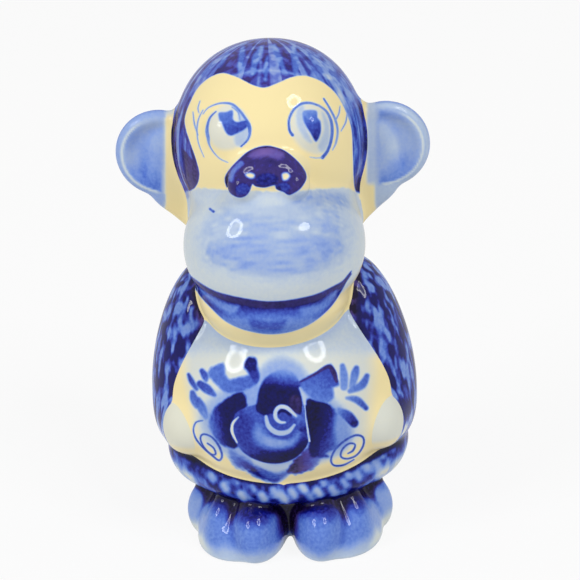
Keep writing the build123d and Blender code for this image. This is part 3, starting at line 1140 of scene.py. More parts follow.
FINGER_PETALS = (
    # each stroke, and the loads at its two ends
    (((188.5, 374.5, 3), (191.5, 381, 5.5), (196.5, 389, 4)), (0.86, 0.7)),
    (((202, 371, 5), (205, 376, 7), (206, 380, 4)), (0.8, 0.66)),
    (((200, 384, 7), (207, 389, 9), (214.6, 395, 4)), (0.8, 0.66)),
    (((192.5, 392.5, 5), (194, 399, 8), (196.5, 406, 5)), (0.72, 0.56)),
    (((198, 400, 6), (202, 408, 9), (206, 417, 5)), (0.72, 0.5)),
    (((342.5, 366, 5), (344, 376, 8), (344, 387, 7)), (0.58, 0.5)),
    (((356.5, 368, 5), (355, 374, 8), (352, 386, 6)), (0.7, 0.5)),
    (((367, 376, 5), (362, 385, 8), (350, 391, 5)), (0.72, 0.54)),
    (((347, 398, 3), (357, 400, 7), (366, 408, 5)), (0.5, 0.8)),
    (((339.7, 411, 6), (348, 416, 10), (354, 423, 9)), (0.56, 1.0)),
)
LEFT_SCROLL = (
    (202.9, 420.5, 1), (196.2, 422.3, 1.4), (193.4, 429.5, 1.6), (195.9, 438.6, 1.8), (202.9, 447.3, 2),
    (211.6, 455, 2.2), (219, 460.3, 2), (222, 455.3, 2.2), (218.7, 445.6, 2.4), (211.6, 437, 2),
    (203.4, 434.2, 1.8), (200.4, 438.6, 1.8), (203.8, 447, 1.8), (211, 454, 1.8), (215.6, 454, 2),
    (213.6, 448, 1.8), (207.5, 443.4, 1.6),
)
RIGHT_SCROLL = (
    (354, 459.5, 1.2), (343.5, 465, 2), (334, 465.3, 2), (331, 459.5, 2), (335.3, 449.5, 2.2),
    (345, 440.5, 2.2), (355.5, 435.3, 2.2), (363, 437.5, 2.2), (363.2, 445.6, 2), (356.8, 455, 2),
    (347.5, 458.7, 2), (341, 456.6, 2), (342.3, 449.5, 2), (349, 443.6, 2), (355, 444.6, 1.8),
    (353, 450.5, 2.2), (348, 453.5, 1.4),
)
SPIRAL = (
    (296, 416, 2), (292, 412, 3.6), (286, 407.4, 4.4), (279.6, 407, 4.4), (275.6, 411.6, 4.2),
    (275.8, 418, 3.8), (280, 422, 3.2), (285, 422.4, 2),
)
SPIRAL_ARC = (
    (266, 416.5, 3), (268, 425, 4.6), (273.6, 431, 5), (281, 433.2, 5), (288.6, 431.4, 4.4),
    (294.4, 425, 2.4),
)
LEG_DABS = (
    # across, down, width and load
    (207, 462, 7, 0.3), (212, 477, 8, 0.28), (220, 470, 7, 0.3), (225, 487, 8, 0.2), (236, 480, 7, 0.36),
    (242, 496, 8, 0.14), (253, 488, 6, 0.34), (263, 497, 8, 0.12), (275, 492, 8, 0.2), (283, 497, 9, 0.12),
    (293, 493, 8, 0.2), (303, 488, 8, 0.1), (311, 497, 6, 0.3), (318, 492, 8, 0.14), (322, 481, 6, 0.3),
    (333, 490, 8, 0.2), (345, 483, 7, 0.28), (347, 473, 7, 0.2), (358, 476, 7, 0.26), (366, 466, 8, 0.22),
    (376, 463, 7, 0.3), (380, 453, 8, 0.24), (388, 446, 8, 0.3), (200, 456, 6, 0.4),
)

HEAD_MARKS = (
    Mark(1.2, {"cobalt": 0.0, "violet": 0.0, "dabs": 0.0}, FACE),
    Mark(1.6, {"cobalt": 1.1, "violet": 0.6, "dabs": 0.2}, LOCK),
    *(Mark(3.6, {"cobalt": 0.56, "violet": 0.0}, line) for line in CROWN_STROKES),
    Mark(2.0, {"cobalt": 0.98, "violet": 0.4}, [(across - 1.5, down, 2.2) for across, down in FACE[7:15]]),
    *(Mark(7.0, {"cobalt": 0.07, "cream": 0.45}, wash) for wash in EYE_WASHES),
    *(Mark(5.0, {"cobalt": 0.2, "cream": 0.3}, shade) for shade in EYE_SHADES),
    *(Mark(2.4, {"cobalt": loads}, iris, axis=axis) for iris, axis, loads in IRISES),
    *(Mark(1.3, {"cobalt": loads}, line) for line, loads in EYE_LINES),
    *(Mark(1.3, {"cobalt": 0.46}, line) for line in LASHES),
)
NOSE_EDGE_MARKS = (Mark(1.6, {"cobalt": 1.0, "violet": 0.4}, NOSE),)
MUZZLE_MARKS = (
    Mark(3.0, {"cobalt": 0.13, "cream": 0.2}, MUZZLE_EDGE, rough=1.0),
    *(Mark(soft, {"cobalt": load, "cream": 0.0}, outline) for outline, soft, load in MUZZLE_WASHES),
    *(Mark(6.0, {"cobalt": 0.34}, line) for line in MUZZLE_STREAKS),
    Mark(1.4, {"cobalt": 0.7}, ((210, 209, 2.2), (213.5, 211.5, 2.6))),
)
LIP_MARKS = (
    # The lip darkens towards the mouth: partly its paint, partly painted shade under the muzzle's overhang.
    Mark(1.6, {"cobalt": (0.96, 0.55), "cream": 0.2}, LIP, axis=((268, 304), (268, 320))),
    # Painted highlights: this mark and the next make the lip paler at its two sides, where the lamps'
    # reflections run along it.
    Mark(6.0, {"cobalt": 0.5}, (
        (200, 288), (212, 296), (228, 303), (240, 306), (232, 314), (216, 306), (204, 296),
    )),
    Mark(6.0, {"cobalt": 0.56}, ((300, 308), (320, 302), (336, 290), (334, 300), (320, 313), (304, 318))),
    Mark(6.0, {"cobalt": 0.74}, ((250, 318), (268, 322), (286, 320), (280, 330), (266, 331), (252, 328))),
    Mark(2.0, {"cobalt": 1.0, "violet": 0.2}, MOUTH),
)
NOSE_MARKS = (
    Mark(1.6, {"cobalt": 1.02, "violet": 0.3}, NOSE),
    Mark(6.0, {"cobalt": 0.82, "violet": 1.1}, NOSE_BLOOM_AND_SHEEN),
    Mark(3.0, {"cobalt": 0.6, "cream": 0.7, "violet": 0.2}, (
        (228, 178), (232, 169), (240, 161), (244, 164), (236, 172), (232, 182),
    )),
    Mark(3.0, {"cobalt": 0.94, "violet": 0.0}, (
        (258, 176), (268, 173), (278, 177), (276, 184), (266, 186), (257, 184),
    )),
    *(Mark(3.4, {"cobalt": 0.05, "cream": 1.0, "violet": 0.0}, gap) for gap in NOSE_GAPS),
    *(Mark(3.0, {"cobalt": 0.84, "violet": 0.0}, nostril) for nostril in NOSTRILS),
)
ROSE_MARKS = (
    Mark(12.0, {"cobalt": 0.36}, (
        (258, 378), (266, 364), (281, 358), (298, 364), (308, 380), (302, 400), (262, 400),
    )),
    Mark(15.0, {"cobalt": 0.34}, (
        (204, 410), (228, 388), (262, 395), (300, 395), (330, 398), (352, 425), (342, 452), (300, 466),
        (255, 468), (222, 450), (206, 432),
    )),
    Mark(6.0, {"cobalt": 0.4}, ((243, 392), (258, 384), (262, 400), (256, 412), (246, 410))),
    Mark(5.0, {"cobalt": 0.2}, ((252, 458), (276, 466), (297, 460), (290, 474), (275, 480), (262, 474))),
    Mark(7.0, {"cobalt": (0.6, 1.04), "violet": 0.1}, (
        (231, 450), (240, 456), (250, 463), (262, 470), (276, 478), (277, 482), (262, 479), (247, 471),
        (236, 466), (230, 458),
    ), rough=1.2, axis=((234, 456), (256, 466))),
    Mark(6.0, {"cobalt": 0.7}, ((256, 467), (275, 473), (290, 470), (284, 478), (275, 482), (264, 477))),
    Mark(4.0, {"cobalt": (1.18, 0.62), "violet": 0.5}, (
        (287, 471), (292, 463), (299, 456), (309, 449), (319, 456), (317, 465), (308, 471), (295, 474),
    ), rough=1.0, axis=((296, 464), (316, 462))),
    *(
        Mark(4.0, {"cobalt": loads, "violet": 0.0}, outline, axis=axis, rough=0.7)
        for outline, axis, loads in ROSE_PETALS
    ),
    Mark(10.0, {"cobalt": 0.46}, ((338, 408), (348, 424), (350, 438), (340, 446), (334, 430))),
    *(Mark(3.0, {"cobalt": loads}, line) for line, loads in FINGER_PETALS),
    Mark(2.0, {"cobalt": 1.12, "violet": 0.4}, (
        (299, 382.5, 1.4), (314, 374.6, 2), (328, 366.5, 3.4), (333.6, 372, 5), (336.4, 381, 3),
    )),
    Mark(2.0, {"cobalt": (0.74, 1.2)}, ROSE_BOWL, axis=((268, 440), (274, 458))),
    Mark(9.0, {"cobalt": 0.86}, (
        (236, 414), (246, 412), (252, 424), (252, 440), (258, 452), (246, 450), (236, 440), (233, 428),
    )),
    Mark(10.0, {"cobalt": 0.5}, (
        (258, 424), (268, 436), (288, 438), (300, 432), (294, 446), (276, 450), (262, 446), (254, 436),
    )),
    Mark(6.0, {"cobalt": 0.4}, ((264, 437), (276, 440), (286, 441), (280, 446), (268, 444))),
    Mark(3.4, {"cobalt": (0.44, 1.14)}, ROSE_BUD, axis=((283, 370), (280, 391))),
    Mark(7.0, {"cobalt": 1.16}, (
        (266, 386), (284, 388), (298, 392), (298, 404), (280, 406), (262, 408), (260, 398),
    )),
    Mark(3.0, {"cobalt": 1.16, "violet": 0.5}, ((290, 398), (298, 396), (301, 406), (298, 414), (291, 411))),
    Mark(3.0, {"cobalt": 0.2}, ((300, 388, 2), (303.6, 397, 4), (305, 404, 3))),
    Mark(2.4, {"cobalt": (0.5, 1.0)}, (
        (292, 414), (300, 415), (306.5, 424), (306, 432), (300, 431), (294, 424),
    ), axis=((294, 415), (303, 432))),
    Mark(4.0, {"cobalt": 0.8}, ((268, 414), (290, 416), (297, 423), (290, 438), (274, 437), (265, 426))),
    Mark(1.8, {"cobalt": 0.22}, SPIRAL_ARC),
    Mark(1.6, {"cobalt": 0.16}, SPIRAL),
    Mark(2.0, {"cobalt": 0.78}, ((280, 412.6), (285, 412.4), (288, 416.4), (285, 419.6), (280.6, 417))),
    Mark(1.2, {"cobalt": 0.04}, ((238.5, 417, 1), (233, 423, 2.6), (232, 431.5, 3), (237, 442.5, 1.4))),
    Mark(1.2, {"cobalt": 0.12}, ((304.5, 403, 1), (306, 418, 1.4), (309.4, 441, 2.2))),
    Mark(1.3, {"cobalt": 0.76}, LEFT_SCROLL),
    Mark(1.3, {"cobalt": 0.76}, RIGHT_SCROLL),
)
LEG_MARKS = tuple(
    Mark(
        7.0, {"cobalt": load + 0.12, "dabs": 0.1, "cream": 0.7},
        ((across - 1.5, down - 2, width), (across + 1.5, down + 2, width)),
    )
    for across, down, width, load in LEG_DABS
)


class Painter:
    """Paints the pieces, each with what its member carries. Places and sizes in millimetres."""

    def paint(self, name: str, coat: Coat) -> None:
        """Paints one piece.

        Args:
            name: its member's name.
            coat: its painting.
        """
        kind = name.removeprefix("left_").removeprefix("right_")
        getattr(self, kind)(coat)
        # Cobalt is deepened in the creases: partly glaze that pools there, partly painted shade where the
        # creases fall into shadow.
        pooled_and_shaded = coat.crease * np.clip(coat.cobalt * 1.6, 0, 1)
        coat.cobalt += 0.32 * pooled_and_shaded

    def head(self, coat: Coat) -> None:
        """The cream face, the eyes, and the hair that frames them and goes on over the back.

        Args:
            coat: its painting.
        """
        x, y, z = coat.points.T
        coat.lay(1.0, cream=1.0)
        hairline = 79 - 12 * smooth_step(-6, 18, y)
        behind = smooth_step(-9, -7, y)
        back = smooth_step(-0.5, 0.5, z - hairline) * behind
        front = smooth_step(195, 185, coat.down) * (1 - behind)
        paler = smooth_step(2.0, 12.0, x)
        streaks = self.streaks(coat) - 0.2 * paler
        coat.lay(np.maximum(back, front), cobalt=streaks, violet=0.35 - 0.33 * paler, dabs=0.5)
        coat.draw(HEAD_MARKS + MUZZLE_MARKS + NOSE_EDGE_MARKS)

    def streaks(self, coat: Coat) -> Array:
        """How thick the pigment lies in the hair, brushed down from the crown.

        Args:
            coat: its painting.

        Returns:
            The load of cobalt at each point.
        """
        x, y, z = coat.points.T
        angle = np.arctan2(x, 8.0 - y)
        place = np.stack([20.0 * np.sin(angle), 20.0 * np.cos(angle), z * 0.10], 1)
        broad, fine = speckle(place, 1.5, 3), speckle(place * 2.0, 1.0, 4)
        return 0.92 - 0.4 * smooth_step(0.56, 0.78, broad) + 0.07 * smooth_step(0.55, 0.2, fine)

    def muzzle(self, coat: Coat) -> None:
        """The muzzle, pale below its paint line, with its brushed bands and the top of the lip.

        Args:
            coat: its painting.
        """
        coat.lay(1.0, cream=0.9)
        coat.draw(MUZZLE_MARKS)
        grain = speckle(coat.points * np.array([0.2, 1, 1.0]), 0.8, 8) - 0.5
        coat.cobalt += 0.2 * grain * smooth_step(0.1, 0.3, coat.cobalt) * coat.facing
        coat.draw(LIP_MARKS)

    def lower_jaw(self, coat: Coat) -> None:
        """The cobalt lip, darkest in the mouth, where painted shade under the muzzle joins the paint, over a
        cream chin.
        """
        coat.lay(1.0, cream=1.0)
        coat.draw(LIP_MARKS)

    def nose(self, coat: Coat) -> None:
        """The nose, darkest below, with a violet bloom on top that is partly a painted reflection, and bare
        clay round its nostrils.
        """
        coat.lay(1.0, cream=0.9)
        coat.draw(MUZZLE_MARKS + NOSE_MARKS)

    def ear(self, coat: Coat) -> None:
        """An ear, with a blue half-round dish, a rim whose ridge is painted pale, partly where the blue has
        drawn off and partly as a painted highlight, and a cream root.

        Args:
            coat: its painting.
        """
        x, y, z = coat.points.T
        left, front = x > 0, coat.facing > 0.5
        middle_x, _, middle_z = Additions.ear_dish.centre
        out = np.hypot(np.abs(x) - middle_x, z - middle_z)
        outward = np.where(left, coat.across - 376.5, 164.0 - coat.across)
        wing = np.where(front, smooth_step(-3.5, 2.5, outward), smooth_step(23.4, 25.4, np.abs(x)))
        wing = wing * np.where(front, smooth_step(216, 200, coat.down + 0.4 * np.abs(outward)), 1.0)
        coat.lay(1.0, cream=1.0)
        band = np.where(left, smooth_step(188, 180, coat.down), smooth_step(120, 108, coat.down))
        coat.lay(band * front * smooth_step(-12, -7, outward) * 0.9, cream=0.3, cobalt=0.2)
        coat.lay(wing, cream=0.2, cobalt=0.3)
        mottle = speckle(coat.points, 4.0, 11) - 0.5
        deep = 0.34 + 0.24 * smooth_step(87, 79, z) + 0.16 * mottle
        deep = np.where(left, deep + 0.2 * smooth_step(91, 94, z) - 0.08, deep)
        dish = smooth_step(8.2, 7.6, out) * coat.facing * smooth_step(1.0, 4.5, outward)
        coat.lay(wing * dish, cobalt=deep)
        # The rim's ridge is painted nearly white: partly blue drawn thin off the edge, partly a painted
        # highlight along it.
        thinned_and_highlit_crest = smooth_step(7.4, 7.8, out) * smooth_step(8.4, 8.0, out) * smooth_step(95.0, 92.5, z)
        coat.lay(wing * thinned_and_highlit_crest * coat.facing * smooth_step(2, 9, outward) * 0.8, cobalt=0.05, cream=0.0)
        coat.lay(wing * smooth_step(8.2, 8.6, out), cobalt=0.22 + 0.14 * (x < 0))
        coat.lay(wing * smooth_step(9.1, 9.6, out) * smooth_step(-2, 2, z - 80), cobalt=0.42)
        coat.lay(wing * smooth_step(2.0, 4.0, y) * 0.9, cobalt=0.58)

    def torso(self, coat: Coat) -> None:
        """The painted belly in front, with its rose, dabbed fur behind, and a bare foot.

        Args:
            coat: its painting.
        """
        x, y, z = coat.points.T
        coat.lay(1.0, cream=0.3, cobalt=0.09)
        blot = speckle(coat.points, 7.0, 13) - 0.5
        flank = smooth_step(16.5, 21.0, np.abs(x) + 0.1 * (36 - z) + 2.0 * blot) * smooth_step(50, 46, z)
        coat.lay(flank, cream=1.0, cobalt=0.0)
        coat.lay(smooth_step(30, 25, z), cream=1.0, cobalt=0.0)
        coat.lay(smooth_step(362, 346, coat.down) * coat.facing, cream=0.35, cobalt=0.16)
        fur = smooth_step(2.0, 4.5, y) * smooth_step(7.5, 10.0, z)
        coat.lay(fur, cobalt=0.82, violet=0.35, dabs=1.0, cream=0.3)
        # Painted shade: the seat seen between the feet is painted near black, for the shadow in that gap.
        between = smooth_step(7.0, 4.0, np.abs(x)) * smooth_step(15.5, 13.5, z) * smooth_step(-3.0, -6.0, y)
        coat.lay(between, cobalt=1.15, violet=0.4)
        coat.lay(smooth_step(1.0, 0.4, z), cobalt=0.0, cream=0.5, dabs=0.0, violet=0.0)
        coat.draw(ROSE_MARKS)

    def arm(self, coat: Coat) -> None:
        """An arm of dabbed fur, with painted shade that makes it darkest in the valley along the belly.

        Args:
            coat: its painting.
        """
        _, y, z = coat.points.T
        coat.lay(1.0, cobalt=0.83, violet=0.05, dabs=1.15, cream=0.2)
        # Painted shade: near-black violet cobalt in the crease along the belly.
        coat.lay(smooth_step(0.1, 0.7, coat.crease) * smooth_step(26, 30, z), cobalt=1.1, violet=0.6)
        coat.lay(smooth_step(31, 26, z) * smooth_step(-6, -10, y), cobalt=0.3)

    def hand(self, coat: Coat) -> None:
        """A bare pale hand."""
        x, _, z = coat.points.T
        coat.lay(1.0, cream=0.3, cobalt=np.where(x > 0, 0.06, 0.02))
        coat.lay(smooth_step(27.5, 25.5, z), cream=0.9, cobalt=0.0)

    def leg(self, coat: Coat) -> None:
        """A leg of mottled blue, with pale dabs and a paler lower edge.

        Args:
            coat: its painting.
        """
        x, y, z = coat.points.T
        blot = speckle(coat.points, 1.9, 21)
        coat.lay(1.0, cobalt=0.98 - 0.3 * smooth_step(0.45, 0.75, blot), violet=0.0, dabs=0.3, cream=0.35)
        behind = smooth_step(-0.05, -0.2, coat.toward)
        coat.lay(behind * smooth_step(0.55, 0.7, speckle(coat.points, 2.8, 22)) * 0.8, cobalt=0.24)
        coat.draw(LEG_MARKS)
        # Painted shade: the crease under the belly is painted near black.
        coat.lay(smooth_step(0.05, 0.6, coat.crease) * smooth_step(15, 19, z), cobalt=1.14)
        side = smooth_step(18.0, 21, np.abs(x)) * smooth_step(10, 4, y) * smooth_step(19, 15.5, z)
        coat.lay(side * 0.85, cobalt=0.1, cream=0.9)

    def foot(self, coat: Coat) -> None:
        """A foot that fades from black at the ankle to pale at the toes' tips.

        Args:
            coat: its painting.
        """
        x, _, z = coat.points.T
        blot = speckle(coat.points, 3.0, 31) - 0.5
        fade = smooth_step(8.0, 12.6, z + 1.6 * blot)
        low = smooth_step(5.0, 1.0, z + 2.0 * blot)
        outer = smooth_step(16.0, 20.0, np.abs(x))
        coat.lay(1.0, cobalt=0.56 + 0.5 * fade - 0.34 * low - 0.18 * outer, violet=0.0, cream=0.1)
        # Painted shade: the creases under the leg and between the toes are painted dark.
        coat.lay(smooth_step(0.2, 0.8, coat.crease) * smooth_step(6, 11, z), cobalt=1.16, violet=0.3)
        coat.lay(smooth_step(0.3, 0.9, coat.crease) * smooth_step(1, 4, z) * 0.7, cobalt=0.95, violet=0.3)
        coat.lay(smooth_step(1.3, 0.5, z), cobalt=0.16, violet=0.0)
        # Painted shade: a dark strip where the two feet meet.
        coat.lay(smooth_step(3.0, 1.2, np.abs(x)) * smooth_step(2, 8, z), cobalt=1.1, violet=0.5)


# Finish


def linear(hexcode: str) -> tuple[float, float, float, float]:
    """An sRGB hex colour as linear red, green, blue and alpha."""
    parts = [int(hexcode[i : i + 2], 16) / 255 for i in (0, 2, 4)]
    red, green, blue = (v / 12.92 if v <= 0.04045 else ((v + 0.055) / 1.055) ** 2.4 for v in parts)
    return red, green, blue, 1.0


def cleared(owner: bpy.types.Material | bpy.types.World | bpy.types.Light) -> bpy.types.NodeTree:
    """The node tree of a material, a world or a lamp, with nothing in it."""
    owner.use_nodes = True
    owner.node_tree.nodes.clear()
    return owner.node_tree


def add_node(
    tree: bpy.types.NodeTree,
    kind: str,
    settings: dict[str, object] | None = None,
    inputs: dict[int | str, object] | None = None,
) -> bpy.types.Node:
    """Adds a shader node.

    Args:
        tree: the nodes that it joins.
        kind: the node's type.
        settings: its own properties.
        inputs: a value, or an output to link, for each named or numbered input.

    Returns:
        The node.
    """
    node = tree.nodes.new(kind)
    for name, value in (settings or {}).items():
        setattr(node, name, value)
    for name, value in (inputs or {}).items():
        if isinstance(value, bpy.types.NodeSocket):
            tree.links.new(value, node.inputs[name])
        else:
            node.inputs[name].default_value = value
    return node


@dataclass(frozen=True)
class GlazedPorcelain:
    """Slip-cast porcelain, painted with cobalt under a clear fired glaze.

    The pigment's tone follows how thick it lies, grains of it gather into darker specks, and the glaze
    gives a smooth wet gloss whose faint waves make the lamps' reflections wander.

    Fields:
        cream, white: the clay body, warm and cool.
        tones: the pigment at each load from thin to thick.
        thick: the pigment where it lies thickest.
        thickest: the loads from which and to which it turns to that.
        bloom, shade: the violet of thin and of thick pigment.
        cover: the load that hides the body.
        grain_mm, dab_mm, bloom_mm, wave_mm: the width of the grains, dabs, violet blots and glaze waves.
        gather: how far the grains change the load.
        dab_stretch: how many times closer together the dabs lie along each axis.
        dab_edges: the noise at a dab's edge and within it.
        dab_loads: what a dab adds to the load between dabs and in one.
        wave_depth, dab_depth: their relief in millimetres.
    """

    cream: str = "F0DFA8"
    white: str = "D2D9D6"
    tones: tuple[tuple[float, str], ...] = (
        (0.0, "CDD7DE"),
        (0.12, "C3D0DC"),
        (0.25, "A6B9D8"),
        (0.38, "8BA4DA"),
        (0.50, "6F8FD6"),
        (0.62, "5072CA"),
        (0.74, "3850B4"),
        (0.85, "28359A"),
        (0.95, "14187D"),
        (1.0, "090D5E"),
    )
    thick: str = "06052C"
    thickest: tuple[float, float] = (1.04, 1.3)
    bloom: str = "7A5FA8"
    shade: str = "2A1038"
    cover: float = 0.2
    grain_mm: float = 0.35
    dab_mm: float = 1.5
    bloom_mm: float = 2.6
    wave_mm: float = 9.0
    gather: float = 0.34
    dab_stretch: Point = (1.5, 1.5, 0.5)
    dab_edges: tuple[float, float] = (0.4, 0.64)
    dab_loads: tuple[float, float] = (0.2, -0.3)
    wave_depth: float = 0.12
    dab_depth: float = 0.10

    def material(self) -> bpy.types.Material:
        """Makes the material."""
        material = bpy.data.materials.new("cobalt underglaze on glazed porcelain")
        tree = cleared(material)
        loads = {
            name: add_node(tree, "ShaderNodeAttribute", {"attribute_name": name}).outputs["Fac"]
            for name in PAINTS
        }
        place = add_node(tree, "ShaderNodeTexCoord").outputs["Object"]
        times, add = {"operation": "MULTIPLY"}, {"operation": "MULTIPLY_ADD"}
        soft, blend = {"interpolation_type": "SMOOTHSTEP"}, {"data_type": "RGBA"}

        def blots(size_mm: float, stretch: Point = (1, 1, 1)) -> dict[int | str, object]:
            """The settings of noise whose blots are about that many millimetres wide."""
            scaled = add_node(tree, "ShaderNodeVectorMath", times, {0: place, 1: stretch})
            return {"Vector": scaled.outputs[0], "Scale": 0.5 / (size_mm * MM), "Detail": 1.0}

        grain = add_node(tree, "ShaderNodeTexNoise", None, blots(self.grain_mm)).outputs["Fac"]
        dab_shape = add_node(
            tree, "ShaderNodeTexNoise", None, blots(self.dab_mm, self.dab_stretch)
        ).outputs["Fac"]
        violet_blot = add_node(tree, "ShaderNodeTexNoise", None, blots(self.bloom_mm)).outputs["Fac"]
        wave_shape = add_node(tree, "ShaderNodeTexNoise", None, blots(self.wave_mm)).outputs["Fac"]

        # The load: what is painted, the dabs on it, and grains that gather where it lies thick
        dab = add_node(
            tree, "ShaderNodeMapRange", soft,
            {
                "Value": dab_shape, "From Min": self.dab_edges[0], "From Max": self.dab_edges[1],
                "To Min": self.dab_loads[0], "To Max": self.dab_loads[1],
            },
        ).outputs[0]
        dabbed = add_node(
            tree, "ShaderNodeMath", add, {0: dab, 1: loads["dabs"], 2: loads["cobalt"]}
        ).outputs[0]
        centred = add_node(tree, "ShaderNodeMath", {"operation": "SUBTRACT"}, {0: grain, 1: 0.5}).outputs[0]
        gather = add_node(tree, "ShaderNodeMath", times, {0: loads["cobalt"], 1: self.gather}).outputs[0]
        load = add_node(tree, "ShaderNodeMath", add, {0: centred, 1: gather, 2: dabbed}).outputs[0]

        # The tone: the ramp of a thin to a thick load, with violet blots, over the white or cream body
        ramp = add_node(tree, "ShaderNodeValToRGB", None, {"Fac": load})
        ramp.color_ramp.elements.remove(ramp.color_ramp.elements[1])
        for number, (position, code) in enumerate(self.tones):
            element = ramp.color_ramp.elements[0] if number == 0 else ramp.color_ramp.elements.new(position)
            element.position, element.color = position, linear(code)
        low, high = self.thickest
        thick = add_node(
            tree, "ShaderNodeMapRange", None, {"Value": load, "From Min": low, "From Max": high}
        ).outputs[0]
        pigment = add_node(
            tree, "ShaderNodeMix", blend, {0: thick, 6: ramp.outputs["Color"], 7: linear(self.thick)}
        ).outputs[2]
        tinge = add_node(
            tree, "ShaderNodeMix", blend, {0: thick, 6: linear(self.bloom), 7: linear(self.shade)}
        ).outputs[2]
        violet = add_node(tree, "ShaderNodeMath", times, {0: loads["violet"], 1: violet_blot}).outputs[0]
        tinted = add_node(tree, "ShaderNodeMix", blend, {0: violet, 6: pigment, 7: tinge}).outputs[2]
        body = add_node(
            tree, "ShaderNodeMix", blend, {0: loads["cream"], 6: linear(self.white), 7: linear(self.cream)}
        ).outputs[2]
        cover = add_node(
            tree, "ShaderNodeMapRange", soft, {"Value": load, "From Min": 0.0, "From Max": self.cover}
        ).outputs[0]
        colour = add_node(tree, "ShaderNodeMix", blend, {0: cover, 6: body, 7: tinted}).outputs[2]

        # The glaze: slow waves, and the faint relief of the dabs
        wave = add_node(
            tree, "ShaderNodeBump", None,
            {"Strength": 0.5, "Distance": self.wave_depth * MM, "Height": wave_shape},
        ).outputs[0]
        ridge = add_node(tree, "ShaderNodeMath", times, {0: dab, 1: loads["dabs"]}).outputs[0]
        relief = add_node(
            tree, "ShaderNodeBump", None,
            {"Strength": 0.6, "Distance": self.dab_depth * MM, "Height": ridge, "Normal": wave},
        ).outputs[0]
        shader = add_node(
            tree, "ShaderNodeBsdfPrincipled", None,
            {
                "Base Color": colour,
                "Roughness": 0.3,
                "IOR": 1.5,
                "Specular IOR Level": 0.0,
                "Coat Weight": 0.55,
                "Coat Roughness": 0.03,
                "Coat IOR": 1.4,
                "Normal": relief,
                "Coat Normal": relief,
            },
        )
        add_node(tree, "ShaderNodeOutputMaterial", None, {"Surface": shader.outputs[0]})
        return material


# The figurine and its studio


@dataclass(frozen=True)
class Monkey:
    """The figurine: its members, its skin, its painting and its finish.

    Fields beside its parts:
        step: millimetres between the skin lattice's neighbours.
        fine: the pieces that get more points in front, for their brushwork.
        edge: how near the skin a point counts as on it, in millimetres.
        crease_mm: how deep a crease is when it counts as a full one.
        thickest: the highest value that a paint takes.
    """

    body: Body = Body()
    additions: Additions = Additions()
    painter: Painter = Painter()
    finish: GlazedPorcelain = GlazedPorcelain()
    step: float = 0.4
    rough_step: float = 0.8
    fine: tuple[str, ...] = ("torso", "head", "muzzle", "lower_jaw", "nose")
    edge: float = 0.1
    crease_mm: float = 0.35
    thickest: float = 1.3

    def build(self) -> None:
        """Makes every piece, in the order of its members."""
        members = self.body.members() + self.additions.members()
        skin = Skin(members, self.step)
        meshes = skin.pieces(self.body.hollow())
        material = self.finish.material()
        for member in members:
            mesh = self.dressed(member.name, meshes[member.name], skin)
            piece = object_of(f"{member.name}_skin", mesh)
            mesh.materials.append(material)
            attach(piece, "root")
            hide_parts(member.name)
            LOG.info("%s: %d points, %d faces", piece.name, len(mesh.vertices), len(mesh.polygons))

    def dressed(self, name: str, mesh: bpy.types.Mesh, skin: Skin) -> bpy.types.Mesh:
        """Makes a piece smooth and paints it.

        Args:
            name: its member's name.
            mesh: its closed mesh.
            skin: the whole skin, whose normals it takes so that no seam shows beside its neighbours.

        Returns:
            The painted mesh, with more points where it has fine brushwork.
        """
        points, triangles = points_of(mesh), triangles_of(mesh)
        normals = skin.lattice.away(skin.slopes, points)
        if name in self.fine:
            toward = (normals @ np.array(VIEW.axes()[2]) > 0.1)[triangles].all(1)
            toward &= np.abs(skin.lattice.sample(skin.values, points))[triangles].max(1) < self.edge
            points, triangles = halved(points, triangles, toward)
            normals = skin.lattice.away(skin.slopes, points)
            gap = skin.lattice.sample(skin.values, points)[:, None]
            points = np.where(np.abs(gap) < self.edge, points - gap * normals, points)
        mesh = mesh_of(name, points, triangles, np.zeros((0, 4), int))
        crease = np.clip(-skin.lattice.sample(skin.softer, points) / self.crease_mm, 0, 1)
        coat = Coat(points, normals, crease)
        self.painter.paint(name, coat)
        for value in PAINTS:
            layer = mesh.attributes.new(value, "FLOAT", "POINT")
            laid = np.clip(getattr(coat, value), 0, self.thickest)
            layer.data.foreach_set("value", laid.astype(np.float32))
        mesh.polygons.foreach_set("use_smooth", np.ones(len(mesh.polygons), bool))
        mesh.normals_split_custom_set_from_vertices(normals)
        return mesh


@dataclass(frozen=True)
class Lamp:
    """A soft ring lamp that faces the figurine. Lengths in metres.

    Fields:
        name: the lamp's name.
        azimuth: degrees round from the front, towards +X.
        elevation: degrees above the floor.
        size: its width.
        power: its power in watts.
        distance: how far it stands from the figurine.
        aim: the height that it faces.
        hole: from the middle, the share of its width at which its dim hole ends and its ring begins.
        glow: the strength of the hole and of the ring.
    """

    name: str
    azimuth: float
    elevation: float
    size: float = 0.7
    power: float = 16.5
    distance: float = 2.0
    aim: float = 0.055
    hole: tuple[float, float] = (0.24, 0.34)
    glow: tuple[float, float] = (0.2, 1.42)

    def build(self) -> None:
        """Makes the lamp."""
        way = way_to(self.azimuth, self.elevation)
        data = bpy.data.lights.new(self.name, "AREA")
        data.shape, data.size, data.energy = "DISK", self.size, self.power
        tree = cleared(data)
        across = add_node(tree, "ShaderNodeTexCoord").outputs["UV"]
        middle = (0.5, 0.5, 0.0)
        out = add_node(tree, "ShaderNodeVectorMath", {"operation": "DISTANCE"}, {0: across, 1: middle})
        ring = add_node(
            tree, "ShaderNodeMapRange", {"interpolation_type": "SMOOTHSTEP"},
            {
                "Value": out.outputs["Value"], "From Min": self.hole[0], "From Max": self.hole[1],
                "To Min": self.glow[0], "To Max": self.glow[1],
            },
        ).outputs[0]
        light = add_node(tree, "ShaderNodeEmission", None, {"Strength": ring})
        add_node(tree, "ShaderNodeOutputLight", None, {"Surface": light.outputs[0]})
        lamp = object_of(self.name, data)
        lamp.location = Vector((0, 0, self.aim)) + way * self.distance
        lamp.rotation_euler = way.to_track_quat("Z", "Y").to_euler()


